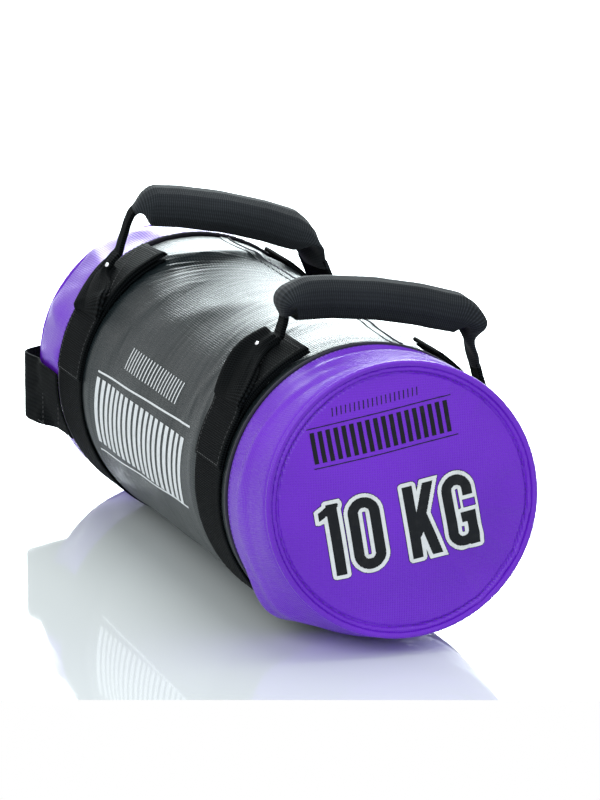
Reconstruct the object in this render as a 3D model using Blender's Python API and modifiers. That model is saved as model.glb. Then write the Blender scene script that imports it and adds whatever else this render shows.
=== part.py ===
"""Fitness power bag: a round padded bag of sand with two top handles and a loop at one end.

The bag lies on its side on the floor z = 0. Its long axis runs along X, with the weight-marked end
at +X and the end loop at -X. The left side is -Y and the right side is +Y. Angles round the bag
are measured from its top, towards the side that a piece lies on. All sizes are in metres and
degrees.
"""

import math
from collections import namedtuple

import bmesh
import bpy
from mathutils import Matrix, Quaternion, Vector

# Bag
BODY_RADIUS = 0.100
BODY_LENGTH = 0.3654
FLAT_DEPTH = 0.0025
SKIN_WALL = 0.0012
GAP = 0.0003
COLUMNS = 60

# Ends: the band narrows from the ring seam to the panel seam
BAND_WIDTH = 0.0681
BAND_STEPS = 4
BAND_ROUNDING_POWER = 2.0
NEAR_SEAM_DROP_Y = 0.0061
NEAR_SEAM_DROP_Z = 0.0071
NEAR_SEAM_RIGHT = 0.0014
NEAR_SEAM_RISE = 0.0076
NEAR_SEAM_SIDE_ANGLE = 2.92
NEAR_SEAM_BACK_ANGLE = -4.23
FAR_SEAM_DROP = 0.0060
PANEL_WALL = 0.0015
PANEL_CROWN = 0.0070
PANEL_RING_SHARES = (1.0, 0.8, 0.45)
RING_WELT_RADIUS = 0.0011
PIPING_RADIUS = 0.0018

# Lengthwise lap of the black vinyl, on the right of the top
LAP_ANGLE = 15.0
LAP_WIDTH = 0.007
LAP_THICKNESS = 0.0008

# Girth straps and their doubled ends
WEBBING_WIDTH = 0.050
WEBBING_THICKNESS = 0.0016
NEAR_STRAP_INSET = 0.0092
FAR_STRAP_INSET = 0.0015
TAB_THICKNESS = 0.0022
TAB_SPAN_ANGLE = 34.0
LEFT_TAB_TOP_ANGLE = 19.0
RIGHT_TAB_TOP_ANGLE = 34.0
STEP_ANGLE = 6.0
TAB_CLEAR_ANGLE = 1.0

# Sewn ends of the handle webbing
NEAR_LEFT_LAP_ANGLE = 80.0
FAR_LEFT_LAP_ANGLE = 91.0
RIGHT_LAP_ANGLE = 92.0
NEAR_LEFT_FOLD_ANGLE = 53.0
FAR_LEFT_FOLD_ANGLE = 56.0
RIGHT_FOLD_ANGLE = 78.0
NEAR_LEFT_ROOT_ANGLE = 27.0
FAR_LEFT_ROOT_ANGLE = 34.0
RIGHT_ROOT_ANGLE = 60.5
FOLD_WIDTH = 0.016
FOLD_THICKNESS = 0.0034
FOLD_PUFF = 0.0045
LEFT_FOLD_SHIFT = 0.017
RIGHT_FOLD_SHIFT = 0.004

# Rivets through the folds
RIVET_HEAD_RADIUS = 0.0030
RIVET_HEAD_HEIGHT = 0.0016
RIVET_SHANK_RADIUS = 0.0014
RIVET_CLEARANCE = 0.0002
RIVET_DISTANCE = 0.0095
RIVET_SIDES = 12
RIVET_DOME_SHARES = ((0.0, 1.0), (0.55, 0.86), (0.88, 0.5))

# Top handles
NOSE_RADIUS = 0.0055
NOSE_STEPS = 3
SEATING_PASSES = 4
LEFT_SWING_ROOM = 0.0
RIGHT_SWING_ROOM = 0.0016
LEG_THICKNESS = 0.0032
GRIP_WEBBING_WIDTH = 0.025
RIGHT_LEG_WIDTH = 0.026
GRIP_HALF_LENGTH = 0.063
GRIP_ARCH = 0.0060
GRIP_ARCH_STEPS = 4
NEAR_GRIP_CLEARANCE = 0.0080
FAR_GRIP_CLEARANCE = 0.0086
NEAR_GRIP_TILT = 9.0
FAR_GRIP_TILT = 14.7
NEAR_GRIP_SHIFT = 0.0040
FAR_GRIP_SHIFT = -0.0155
NEAR_LEAN = 0.0
FAR_LEAN = 12.0
CORNER_RADIUS = 0.014
CORNER_STEPS = 5
CORNER_TRIM_SHARE = 0.45

# Grip: sleeve over foam
GRIP_HALF_WIDTH = 0.0180
GRIP_HALF_HEIGHT = 0.0142
GRIP_RIDGE_DROP = 0.0042
SLEEVE_WALL = 0.0010
SLEEVE_LENGTH = 0.153
SLEEVE_LEFT_END_WIDTH = 0.0088
SLEEVE_RIGHT_END_WIDTH = 0.0175
SLEEVE_END_HEIGHT = 0.0048
NEAR_LEG_FREE = 0.019
FAR_LEG_FREE = 0.036
GRIP_TAPER = 0.026
GRIP_SIDES = 16
GRIP_STATIONS = 24
FOAM_STATIONS = 18
FOAM_INSET = 0.001
WEBBING_STATIONS = 30

# End loop
END_DROP = 0.022
END_NOSE_RADIUS = 0.0225
END_HINGE_BEFORE_SEAM = 0.012
END_LOOP_PAST_SEAM = 0.014
END_LOOP_REACH = 0.052
END_LOOP_CORNER = 0.016
END_HORN = 0.008
END_BLEND_LENGTH = 0.030
END_ROWS = 6
END_COLUMNS = 6
END_BOW_STEPS = 12
END_CORNER_STEPS = 4
END_LOOP_STATIONS = 48

# Inside
PADDING_THICKNESS = 0.0240
LINER_THICKNESS = 0.0010

OVERRUN = 0.002
COLLECTION_NAME = "fitness_power_bag"
CUTTER_COLLECTION_NAME = "cutters"

# Places worked out from the sizes
STACK_1 = GAP
STACK_2 = STACK_1 + WEBBING_THICKNESS + GAP
STACK_3 = STACK_2 + TAB_THICKNESS + GAP
SKIN_FLOOR = STACK_1 + WEBBING_THICKNESS
AXIS_Z = SKIN_FLOOR + BODY_RADIUS - FLAT_DEPTH
NEAR_SEAM_RADIUS_Y = BODY_RADIUS - NEAR_SEAM_DROP_Y
NEAR_SEAM_RADIUS_Z = BODY_RADIUS - NEAR_SEAM_DROP_Z
FAR_SEAM_RADIUS = BODY_RADIUS - FAR_SEAM_DROP
NEAR_SIDE_SLOPE = math.tan(math.radians(NEAR_SEAM_SIDE_ANGLE))
NEAR_BACK_SLOPE = math.tan(math.radians(NEAR_SEAM_BACK_ANGLE))
NEAR_LEAN_REACH = NEAR_SEAM_RADIUS_Y * math.hypot(NEAR_SIDE_SLOPE, NEAR_BACK_SLOPE)
NEAR_REACH = max(PANEL_CROWN, NEAR_LEAN_REACH + PIPING_RADIUS)
TOTAL_LENGTH = NEAR_REACH + BAND_WIDTH + BODY_LENGTH + BAND_WIDTH + END_LOOP_REACH
NEAR_SEAM_X = TOTAL_LENGTH / 2 - NEAR_REACH
NEAR_RING_X = NEAR_SEAM_X - BAND_WIDTH
FAR_RING_X = NEAR_RING_X - BODY_LENGTH
FAR_SEAM_X = FAR_RING_X - BAND_WIDTH
NEAR_STRAP_X = NEAR_RING_X - NEAR_STRAP_INSET - WEBBING_WIDTH / 2
FAR_STRAP_X = FAR_RING_X + FAR_STRAP_INSET + WEBBING_WIDTH / 2
END_Z = AXIS_Z - END_DROP
END_HINGE_X = FAR_SEAM_X + END_HINGE_BEFORE_SEAM
END_PLANE_Y = BODY_RADIUS + GAP

# One end of a handle: its side is 1 on the right and -1 on the left
HandleEnd = namedtuple("HandleEnd", "name side tab_top lap fold root shift swing_room")
TopHandle = namedtuple("TopHandle", "name x left right leg_free clearance tilt shift lean")
Plan = namedtuple("Plan", "left right wide path")
Section = namedtuple("Section", "angle middle half lift thickness")
Girth = namedtuple("Girth", "radius_y radius_z right rise side_slope back_slope")

RIGHT_END = HandleEnd(
    "right",
    1,
    RIGHT_TAB_TOP_ANGLE,
    RIGHT_LAP_ANGLE,
    RIGHT_FOLD_ANGLE,
    RIGHT_ROOT_ANGLE,
    RIGHT_FOLD_SHIFT,
    RIGHT_SWING_ROOM,
)
NEAR_LEFT_END = HandleEnd(
    "left",
    -1,
    LEFT_TAB_TOP_ANGLE,
    NEAR_LEFT_LAP_ANGLE,
    NEAR_LEFT_FOLD_ANGLE,
    NEAR_LEFT_ROOT_ANGLE,
    LEFT_FOLD_SHIFT,
    LEFT_SWING_ROOM,
)
FAR_LEFT_END = HandleEnd(
    "left",
    -1,
    LEFT_TAB_TOP_ANGLE,
    FAR_LEFT_LAP_ANGLE,
    FAR_LEFT_FOLD_ANGLE,
    FAR_LEFT_ROOT_ANGLE,
    LEFT_FOLD_SHIFT,
    LEFT_SWING_ROOM,
)
HANDLES = (
    TopHandle(
        "near",
        NEAR_STRAP_X,
        NEAR_LEFT_END,
        RIGHT_END,
        NEAR_LEG_FREE,
        NEAR_GRIP_CLEARANCE,
        NEAR_GRIP_TILT,
        NEAR_GRIP_SHIFT,
        NEAR_LEAN,
    ),
    TopHandle(
        "far",
        FAR_STRAP_X,
        FAR_LEFT_END,
        RIGHT_END,
        FAR_LEG_FREE,
        FAR_GRIP_CLEARANCE,
        FAR_GRIP_TILT,
        FAR_GRIP_SHIFT,
        FAR_LEAN,
    ),
)

BODY_GIRTH = Girth(BODY_RADIUS, BODY_RADIUS, 0.0, 0.0, 0.0, 0.0)
ALONG_X = Vector((1.0, 0.0, 0.0))
ALONG_Y = Vector((0.0, 1.0, 0.0))
ALONG_Z = Vector((0.0, 0.0, 1.0))

MODEL = bpy.data.collections.new(COLLECTION_NAME)
CUTTERS = bpy.data.collections.new(CUTTER_COLLECTION_NAME)


def clear_scene():
    """Removes the objects of the open scene and links the two collections."""
    for obj in list(bpy.data.objects):
        bpy.data.objects.remove(obj, do_unlink=True)
    bpy.context.scene.collection.children.link(MODEL)
    bpy.context.scene.collection.children.link(CUTTERS)


def material(name, colour, roughness, metallic=0.0):
    """A Principled BSDF material."""
    made = bpy.data.materials.new(name)
    made.use_nodes = True
    shader = made.node_tree.nodes["Principled BSDF"]
    shader.inputs["Base Color"].default_value = (*colour, 1.0)
    shader.inputs["Roughness"].default_value = roughness
    shader.inputs["Metallic"].default_value = metallic
    return made


def smooth_step(share):
    """Eases from 0 to 1."""
    share = min(max(share, 0.0), 1.0)
    return share * share * (3.0 - 2.0 * share)


def blend(first, last, share):
    """The value at a share of the way from first to last."""
    return first + (last - first) * share


def shares_between(first, last, steps):
    """Evenly spaced shares from first to last."""
    return [blend(first, last, i / steps) for i in range(steps + 1)]


def add_object(name, data, finish):
    """Links a named object that wears one finish."""
    obj = bpy.data.objects.new(name, data)
    data.materials.append(finish)
    MODEL.objects.link(obj)
    return obj


def mesh_object(name, bm, finish):
    """Turns a bmesh into a named object."""
    mesh = bpy.data.meshes.new(name)
    bm.to_mesh(mesh)
    bm.free()
    mesh.shade_smooth()
    mesh.set_sharp_from_angle(angle=math.radians(35.0))
    return add_object(name, mesh, finish)


def thicken(obj, thickness, offset):
    """Gives an open surface its wall: offset -1 grows it inwards and 1 outwards."""
    wall = obj.modifiers.new("wall", "SOLIDIFY")
    wall.thickness = thickness
    wall.offset = offset
    wall.use_even_offset = True


def surface(name, rows, finish, closed=True, first_pole=None, last_pole=None):
    """A surface through rows of points that run towards +X, each going round from the top to the right.

    A closed row joins its last point to its first. A pole closes the surface at that end.
    """
    bm = bmesh.new()
    grid = [[bm.verts.new(point) for point in row] for row in rows]
    count = len(rows[0])
    spans = [(j, (j + 1) % count) for j in range(count if closed else count - 1)]
    for low, high in zip(grid, grid[1:]):
        for j, k in spans:
            bm.faces.new((low[j], high[j], high[k], low[k]))
    if first_pole is not None:
        pole = bm.verts.new(first_pole)
        for j, k in spans:
            bm.faces.new((pole, grid[0][j], grid[0][k]))
    if last_pole is not None:
        pole = bm.verts.new(last_pole)
        for j, k in spans:
            bm.faces.new((pole, grid[-1][k], grid[-1][j]))
    return mesh_object(name, bm, finish)


def loft(name, sections, finish):
    """A solid through sections of four corners each, with its two ends capped."""
    bm = bmesh.new()
    rings = [[bm.verts.new(corner) for corner in section] for section in sections]
    for low, high in zip(rings, rings[1:]):
        for j in range(len(low)):
            k = (j + 1) % len(low)
            bm.faces.new((low[j], low[k], high[k], high[j]))
    bm.faces.new(list(reversed(rings[0])))
    bm.faces.new(rings[-1])
    bmesh.ops.recalc_face_normals(bm, faces=bm.faces[:])
    return mesh_object(name, bm, finish)


def cylinder_cutter(name, radius, low, high, sides, frame):
    """A cylinder along its own Z from low to high, kept among the cutters."""
    bm = bmesh.new()
    bmesh.ops.create_cone(
        bm,
        cap_ends=True,
        segments=sides,
        radius1=radius,
        radius2=radius,
        depth=high - low,
        matrix=Matrix.Translation(ALONG_Z * (low + high) / 2),
    )
    mesh = bpy.data.meshes.new(name)
    bm.to_mesh(mesh)
    bm.free()
    cutter = bpy.data.objects.new(name, mesh)
    MODEL.objects.link(cutter)
    cutter.matrix_world = frame
    return cutter


def cut(obj, cutter):
    """Cuts the cutter's shape out of the object."""
    cutter.hide_render = True
    cutter.display_type = "WIRE"
    for holder in list(cutter.users_collection):
        holder.objects.unlink(cutter)
    CUTTERS.objects.link(cutter)
    hole = obj.modifiers.new("cut", "BOOLEAN")
    hole.operation = "DIFFERENCE"
    hole.object = cutter


def near_girth(share):
    """The near band's section at a share of the way from ring seam to panel seam."""
    ease = share**BAND_ROUNDING_POWER
    return Girth(
        blend(BODY_RADIUS, NEAR_SEAM_RADIUS_Y, ease),
        blend(BODY_RADIUS, NEAR_SEAM_RADIUS_Z, ease),
        NEAR_SEAM_RIGHT * ease,
        NEAR_SEAM_RISE * ease,
        NEAR_SIDE_SLOPE * ease,
        NEAR_BACK_SLOPE * ease,
    )


def far_girth(share):
    """The far band's section at a share of the way from ring seam to panel seam."""
    radius = blend(BODY_RADIUS, FAR_SEAM_RADIUS, share**BAND_ROUNDING_POWER)
    return Girth(radius, radius, 0.0, 0.0, 0.0, 0.0)


def skin_point(x, girth, degrees, lift=0.0):
    """The point at an angle of the bag's section at x, positive to the right, lifted off the skin."""
    angle = math.radians(degrees)
    across = (girth.radius_y + lift) * math.sin(angle)
    up = (girth.radius_z + lift) * math.cos(angle)
    lean = girth.side_slope * across + girth.back_slope * up
    height = max(AXIS_Z + girth.rise + up, SKIN_FLOOR - lift)
    return Vector((x + lean, girth.right + across, height))


def skin_row(x, girth, lift=0.0):
    """One full ring of skin points."""
    return [skin_point(x, girth, 360.0 * i / COLUMNS, lift) for i in range(COLUMNS)]


def body_row(x, lift=0.0):
    """One full ring of the black tube."""
    return skin_row(x, BODY_GIRTH, lift)


def near_band_row(share, lift=0.0):
    """One full ring of the near band."""
    return skin_row(NEAR_RING_X + BAND_WIDTH * share, near_girth(share), lift)


def far_band_row(share, lift=0.0):
    """One full ring of the far band."""
    return skin_row(FAR_RING_X - BAND_WIDTH * share, far_girth(share), lift)


def angles_between(low, high):
    """Angles from low to high that fall on the bag's own columns, so that layers nest."""
    step = 360.0 / COLUMNS
    first = math.floor(low / step) + 1
    last = math.ceil(high / step) - 1
    return [low] + [i * step for i in range(first, last + 1)] + [high]


def strip(name, x_low, x_high, angle_low, angle_high, lift, thickness, finish):
    """A band of webbing or vinyl that follows the black tube between two angles."""
    angles = angles_between(angle_low, angle_high)
    rows = [[skin_point(x, BODY_GIRTH, angle, lift) for angle in angles] for x in (x_low, x_high)]
    made = surface(name, rows, finish, closed=False)
    thicken(made, thickness, 1.0)
    return made


def body_cover(finish):
    """The black vinyl tube, which stops short of the welts in the ring seams."""
    inset = RING_WELT_RADIUS + GAP
    rows = [body_row(FAR_RING_X + inset), body_row(NEAR_RING_X - inset)]
    thicken(surface("body_cover", rows, finish), SKIN_WALL, -1.0)


def lap_seam(finish):
    """The strip of vinyl that laps over the tube's lengthwise seam, from welt to welt."""
    inset = RING_WELT_RADIUS + GAP
    half = math.degrees(LAP_WIDTH / 2 / BODY_RADIUS)
    ends = (FAR_RING_X + inset, NEAR_RING_X - inset)
    angles = (LAP_ANGLE - half, LAP_ANGLE + half)
    strip("body_lap_seam", *ends, *angles, GAP, LAP_THICKNESS, finish)


def band_shares():
    """The shares of the band's width at which its rows lie, between the welt and the piping."""
    first = (RING_WELT_RADIUS + GAP) / BAND_WIDTH
    lean_growth = BAND_ROUNDING_POWER * NEAR_LEAN_REACH / BAND_WIDTH
    last = 1.0 - (PIPING_RADIUS + GAP) * (1.0 + lean_growth) / BAND_WIDTH
    return shares_between(first, last, BAND_STEPS)


def band(name, row, forward, finish):
    """A purple end band between its ring welt and its panel piping."""
    rows = [row(share) for share in band_shares()]
    if not forward:
        rows.reverse()
    thicken(surface(name, rows, finish), SKIN_WALL, -1.0)


def seam_cord(name, points, radius, finish):
    """A closed round cord through the points."""
    curve = bpy.data.curves.new(name, "CURVE")
    curve.dimensions = "3D"
    curve.bevel_depth = radius
    curve.bevel_resolution = 1
    line = curve.splines.new("POLY")
    line.points.add(len(points) - 1)
    for spot, point in zip(line.points, points):
        spot.co = (*point, 1.0)
    line.use_cyclic_u = True
    add_object(name, curve, finish)


def panel(name, x, girth, outward, finish):
    """A crowned end panel inside its piping, outward 1 at the near end and -1 at the far end."""
    inset = PIPING_RADIUS + GAP
    rows = []
    for share in PANEL_RING_SHARES:
        ring = girth._replace(
            radius_y=(girth.radius_y - inset) * share,
            radius_z=(girth.radius_z - inset) * share,
        )
        rows.append(skin_row(x + outward * PANEL_CROWN * (1.0 - share**2), ring))
    pole = Vector((x + outward * PANEL_CROWN, girth.right, AXIS_Z + girth.rise))
    if outward > 0:
        made = surface(name, rows, finish, last_pole=pole)
    else:
        made = surface(name, rows[::-1], finish, first_pole=pole)
    thicken(made, PANEL_WALL, -1.0)


def end_foam(name, row, girth_of, ring_x, outward, finish):
    """The foam block behind an end panel, which fills its band."""
    lift = -(SKIN_WALL + GAP)
    depth = 1.0 - (PANEL_WALL + NEAR_LEAN_REACH + PIPING_RADIUS) / BAND_WIDTH
    shares = [share for share in band_shares() if share < depth]
    rows = [row(share, lift) for share in shares]
    poles = []
    for share in (shares[0], shares[-1]):
        girth = girth_of(share)
        x = ring_x + outward * BAND_WIDTH * share
        poles.append(Vector((x, girth.right, AXIS_Z + girth.rise)))
    if outward < 0:
        rows.reverse()
        poles.reverse()
    surface(name, rows, finish, first_pole=poles[0], last_pole=poles[1])


def filling(padding_finish, liner_finish, sand_finish):
    """Padding, liner and sand, one inside the next, between the two foam blocks."""
    ends = (FAR_RING_X, NEAR_RING_X)
    lift = -(SKIN_WALL + GAP)
    padding = surface("padding_sleeve", [body_row(x, lift) for x in ends], padding_finish)
    thicken(padding, PADDING_THICKNESS, -1.0)
    lift -= PADDING_THICKNESS + GAP
    liner = surface("inner_liner", [body_row(x, lift) for x in ends], liner_finish)
    thicken(liner, LINER_THICKNESS, -1.0)
    lift -= LINER_THICKNESS + GAP
    poles = [Vector((x, 0.0, AXIS_Z)) for x in ends]
    rows = [body_row(x, lift) for x in ends]
    surface("sand_fill", rows, sand_finish, first_pole=poles[0], last_pole=poles[1])


def girth_strap(name, x, finish):
    """Webbing from under the right tab, down that side, under the bag and up to the left tab."""
    half = WEBBING_WIDTH / 2
    low = RIGHT_TAB_TOP_ANGLE + TAB_CLEAR_ANGLE
    high = 360.0 - LEFT_TAB_TOP_ANGLE - TAB_CLEAR_ANGLE
    strip(name, x - half, x + half, low, high, STACK_1, WEBBING_THICKNESS, finish)


def tab(name, x, end, finish):
    """The doubled end of a girth strap."""
    half = WEBBING_WIDTH / 2
    low, high = sorted((end.side * end.tab_top, end.side * (end.tab_top + TAB_SPAN_ANGLE)))
    return strip(name, x - half, x + half, low, high, STACK_2, TAB_THICKNESS, finish)


def anchor_profile(x, end):
    """Sections of the handle webbing's sewn end, from its lap up to the root of the handle.

    It lies flat on the girth strap, climbs over the tab's foot, and is then folded to a narrow,
    puffy bundle whose edge towards the far end stays where the strap's edge is.
    """
    step_end = end.tab_top + TAB_SPAN_ANGLE + TAB_CLEAR_ANGLE
    angles = set(angles_between(end.root, end.lap))
    angles.update((step_end, step_end + STEP_ANGLE))
    sections = []
    for angle in sorted(angles, reverse=True):
        share = min(max((end.fold - angle) / (end.fold - end.root), 0.0), 1.0)
        ease = smooth_step(share)
        puff = FOLD_PUFF * math.sin(math.pi * share) ** 2
        climb = smooth_step((step_end + STEP_ANGLE - angle) / STEP_ANGLE)
        sections.append(
            Section(
                angle,
                x - end.shift * ease,
                blend(WEBBING_WIDTH, FOLD_WIDTH, ease) / 2,
                blend(STACK_2, STACK_3, climb),
                blend(WEBBING_THICKNESS, FOLD_THICKNESS, ease) + puff,
            )
        )
    return sections


def anchor(name, side, profile, finish):
    """The handle webbing's sewn end."""
    sections = []
    for section in profile:
        low = section.middle - section.half
        high = section.middle + section.half
        top = section.lift + section.thickness
        corners = ((low, section.lift), (high, section.lift), (high, top), (low, top))
        degrees = side * section.angle
        sections.append([skin_point(x, BODY_GIRTH, degrees, lift) for x, lift in corners])
    return loft(name, sections, finish)


def fold_top(side, profile, angle):
    """The middle of a fold's top at an angle."""
    for before, after in zip(profile, profile[1:]):
        if before.angle >= angle >= after.angle:
            break
    ends = [
        skin_point(at.middle, BODY_GIRTH, side * at.angle, at.lift + at.thickness)
        for at in (before, after)
    ]
    return ends[0].lerp(ends[1], (before.angle - angle) / (before.angle - after.angle))


def girth_radius(point):
    """A point's distance from the bag's axis."""
    return math.hypot(point.y, point.z - AXIS_Z)


def girth_angle(point, side):
    """A point's angle from the bag's top towards one side."""
    return math.degrees(math.atan2(side * point.y, point.z - AXIS_Z))


def rivet_seat(side, profile, angle):
    """The frame of a rivet's seat on a fold: its Z axis points away from the webbing."""
    reach = math.degrees(RIVET_HEAD_RADIUS / BODY_RADIUS)
    middle = fold_top(side, profile, angle)
    edges = [fold_top(side, profile, angle + turn) for turn in (-reach, reach)]
    for edge in edges:
        edge.x = middle.x
    along = (edges[1] - edges[0]).normalized() * side
    away = ALONG_X.cross(along)
    ridges = [fold_top(side, profile, at.angle) for at in profile if abs(at.angle - angle) < reach]
    height = max([0.0] + [away.dot(ridge - edges[0]) for ridge in ridges])
    place = (edges[0] + edges[1]) / 2 + away * (height + GAP)
    frame = Matrix((ALONG_X, away.cross(ALONG_X), away)).transposed().to_4x4()
    frame.translation = place
    return frame


def rivet(name, end, profile, pieces, finish):
    """A domed rivet through a fold, and the hole for its shank in the pieces."""
    angle = end.root + math.degrees(RIVET_DISTANCE / (BODY_RADIUS + STACK_3))
    frame = rivet_seat(end.side, profile, angle)
    depth = girth_radius(frame.translation) - BODY_RADIUS - STACK_2 - GAP
    outline = [
        (RIVET_HEAD_RADIUS * out, RIVET_HEAD_HEIGHT * up) for out, up in RIVET_DOME_SHARES
    ]
    outline += [
        (RIVET_HEAD_RADIUS, 0.0),
        (RIVET_SHANK_RADIUS, 0.0),
        (RIVET_SHANK_RADIUS, -depth),
        (0.0, -depth),
    ]
    mesh = bpy.data.meshes.new(name)
    lines = [(i, i + 1) for i in range(len(outline) - 1)]
    mesh.from_pydata([(out, 0.0, up) for out, up in outline], lines, [])
    obj = add_object(name, mesh, finish)
    obj.matrix_world = frame
    turn = obj.modifiers.new("turn", "SCREW")
    turn.steps = RIVET_SIDES
    turn.render_steps = RIVET_SIDES
    turn.use_merge_vertices = True
    turn.merge_threshold = 0.00001
    radius = RIVET_SHANK_RADIUS + RIVET_CLEARANCE
    low = -depth - OVERRUN
    hole = cylinder_cutter(name + "_hole", radius, low, OVERRUN, RIVET_SIDES, frame)
    for piece in pieces:
        cut(piece, hole)


def rounded(corners, radius, steps):
    """The path through the corners, with each sharp one eased by a curve."""
    path = [corners[0]]
    for before, corner, after in zip(corners, corners[1:], corners[2:]):
        back = before - corner
        ahead = after - corner
        half_turn = (math.pi - back.angle(ahead)) / 2
        longest = CORNER_TRIM_SHARE * min(back.length, ahead.length)
        trim = min(radius * math.tan(half_turn), longest)
        start = corner + back.normalized() * trim
        end = corner + ahead.normalized() * trim
        for share in shares_between(0.0, 1.0, steps):
            path.append(start.lerp(corner, share).lerp(corner.lerp(end, share), share))
    path.append(corners[-1])
    return path


def path_length(path):
    """Length of a path of points."""
    return sum((b - a).length for a, b in zip(path, path[1:]))


def path_place(path, distance):
    """The point and the direction at a distance along a path, which goes on straight at its ends."""
    left = distance
    for a, b in zip(path, path[1:]):
        step = (b - a).length
        if left <= step or b is path[-1]:
            break
        left -= step
    return a + (b - a).normalized() * left, (b - a).normalized()


def eased_direction(path, distance, reach):
    """The path's direction, taken over a short stretch so that sections turn gently."""
    before, _ = path_place(path, distance - reach)
    after, _ = path_place(path, distance + reach)
    return (after - before).normalized()


def nose_stations(radius):
    """Distances behind the hinge and half widths of a webbing end rounded about its hinge."""
    turns = [math.pi / 2 * (i + 0.5) / NOSE_STEPS for i in range(NOSE_STEPS)]
    return [(-radius * math.cos(turn), radius * math.sin(turn)) for turn in turns]


def root_point(x, end, profile, target):
    """The point of the hinge axis above a fold's end, where the webbing sets off to the target.

    It is moved until the webbing's rounded end clears the fold's top by the gap and the room that
    its swing needs, which is more where it lies nearly flat on the bag.
    """
    turn = math.radians(end.side * end.root)
    away = Vector((0.0, math.sin(turn), math.cos(turn)))
    radius = BODY_RADIUS + STACK_3 + FOLD_THICKNESS + NOSE_RADIUS
    for _ in range(SEATING_PASSES):
        root = Vector((x - end.shift, 0.0, AXIS_Z)) + away * radius
        leg = target - root
        leg.x = 0.0
        leg.normalize()
        clearances = []
        for behind, _ in nose_stations(NOSE_RADIUS):
            for out in (-LEG_THICKNESS / 2, LEG_THICKNESS / 2):
                corner = root + leg * behind + leg.cross(ALONG_X) * out
                seat = fold_top(end.side, profile, girth_angle(corner, end.side))
                clearances.append(girth_radius(corner) - girth_radius(seat))
        radius += GAP + end.swing_room - min(clearances)
    return root


def handle_plan(handle):
    """A top handle's two roots, the direction of its webbing's width and its path, upright."""
    slope = math.radians(handle.tilt)
    away = Vector((0.0, math.sin(slope), math.cos(slope)))
    along = Vector((0.0, math.cos(slope), -math.sin(slope)))
    height = BODY_RADIUS + handle.clearance + GRIP_HALF_HEIGHT
    spots = []
    for share in shares_between(-1.0, 1.0, GRIP_ARCH_STEPS):
        spot = away * (height - GRIP_ARCH * share**2)
        spot += along * (handle.shift + GRIP_HALF_LENGTH * share)
        spot.z += AXIS_Z
        spots.append(spot)
    left, right = (
        root_point(handle.x, end, anchor_profile(handle.x, end), spot)
        for end, spot in ((handle.left, spots[0]), (handle.right, spots[-1]))
    )
    for spot in spots:
        spot.x = blend(left.x, right.x, (spot.y - left.y) / (right.y - left.y))
    axis = (right - left).normalized()
    wide = (ALONG_X - axis * axis.x).normalized()
    return Plan(left, right, wide, rounded([left, *spots, right], CORNER_RADIUS, CORNER_STEPS))


def ribbon_section(centre, direction, half_width, half_thickness, wide):
    """Four corners of a webbing section across its path."""
    out = direction.cross(wide).normalized() * half_thickness
    side = wide * half_width
    return [centre - side - out, centre + side - out, centre + side + out, centre - side + out]


def webbing_loft(name, path, half_width_at, stations, nose_radius, half_thickness, wide, finish):
    """Webbing along a path, with both its ends rounded about the hinge."""
    total = path_length(path)
    nose = nose_stations(nose_radius)
    places = list(nose)
    places += [(at, half_width_at(at)) for at in shares_between(0.0, total, stations)]
    places += [(total - at, half) for at, half in reversed(nose)]
    sections = []
    for at, half in places:
        centre, _ = path_place(path, at)
        direction = eased_direction(path, at, 2 * half_thickness)
        sections.append(ribbon_section(centre, direction, half, half_thickness, wide))
    return loft(name, sections, finish)


def handle_webbing(name, handle, plan, inset, finish):
    """The free webbing of a top handle, narrow at its roots and wide in the grip.

    inset grows it, for the slot that it needs in the foam.
    """
    total = path_length(plan.path)
    right_free = total - handle.leg_free - SLEEVE_LENGTH

    def half_width(at):
        from_left = smooth_step((at - handle.leg_free) / GRIP_TAPER)
        left = blend(NOSE_RADIUS, GRIP_WEBBING_WIDTH / 2, from_left)
        from_right = smooth_step((total - at - NOSE_RADIUS) / (right_free - NOSE_RADIUS))
        right = blend(NOSE_RADIUS, RIGHT_LEG_WIDTH / 2, from_right)
        return inset + (left if at < total / 2 else right)

    half_thickness = LEG_THICKNESS / 2 + inset
    return webbing_loft(
        name, plan.path, half_width, WEBBING_STATIONS, NOSE_RADIUS, half_thickness, plan.wide, finish
    )


def grip_ring(handle, plan, at, inset):
    """One ring of the grip: domed, with its widest line low on both sides and narrower ends."""
    start = handle.leg_free
    end = start + SLEEVE_LENGTH
    ease = min(smooth_step((at - start) / GRIP_TAPER), smooth_step((end - at) / GRIP_TAPER))
    end_width = SLEEVE_LEFT_END_WIDTH if at < (start + end) / 2 else SLEEVE_RIGHT_END_WIDTH
    half_width = blend(end_width, GRIP_HALF_WIDTH, ease) - inset
    half_height = blend(SLEEVE_END_HEIGHT, GRIP_HALF_HEIGHT, ease) - inset
    centre, _ = path_place(plan.path, at)
    direction = eased_direction(plan.path, at, LEG_THICKNESS)
    up = plan.wide.cross(direction).normalized()
    ring = []
    for i in range(GRIP_SIDES):
        turn = 2.0 * math.pi * i / GRIP_SIDES
        across = half_width * math.sin(turn)
        rise = half_height * math.cos(turn) - GRIP_RIDGE_DROP * ease * math.sin(turn) ** 2
        ring.append(centre + plan.wide * across + up * rise)
    return ring


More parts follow.
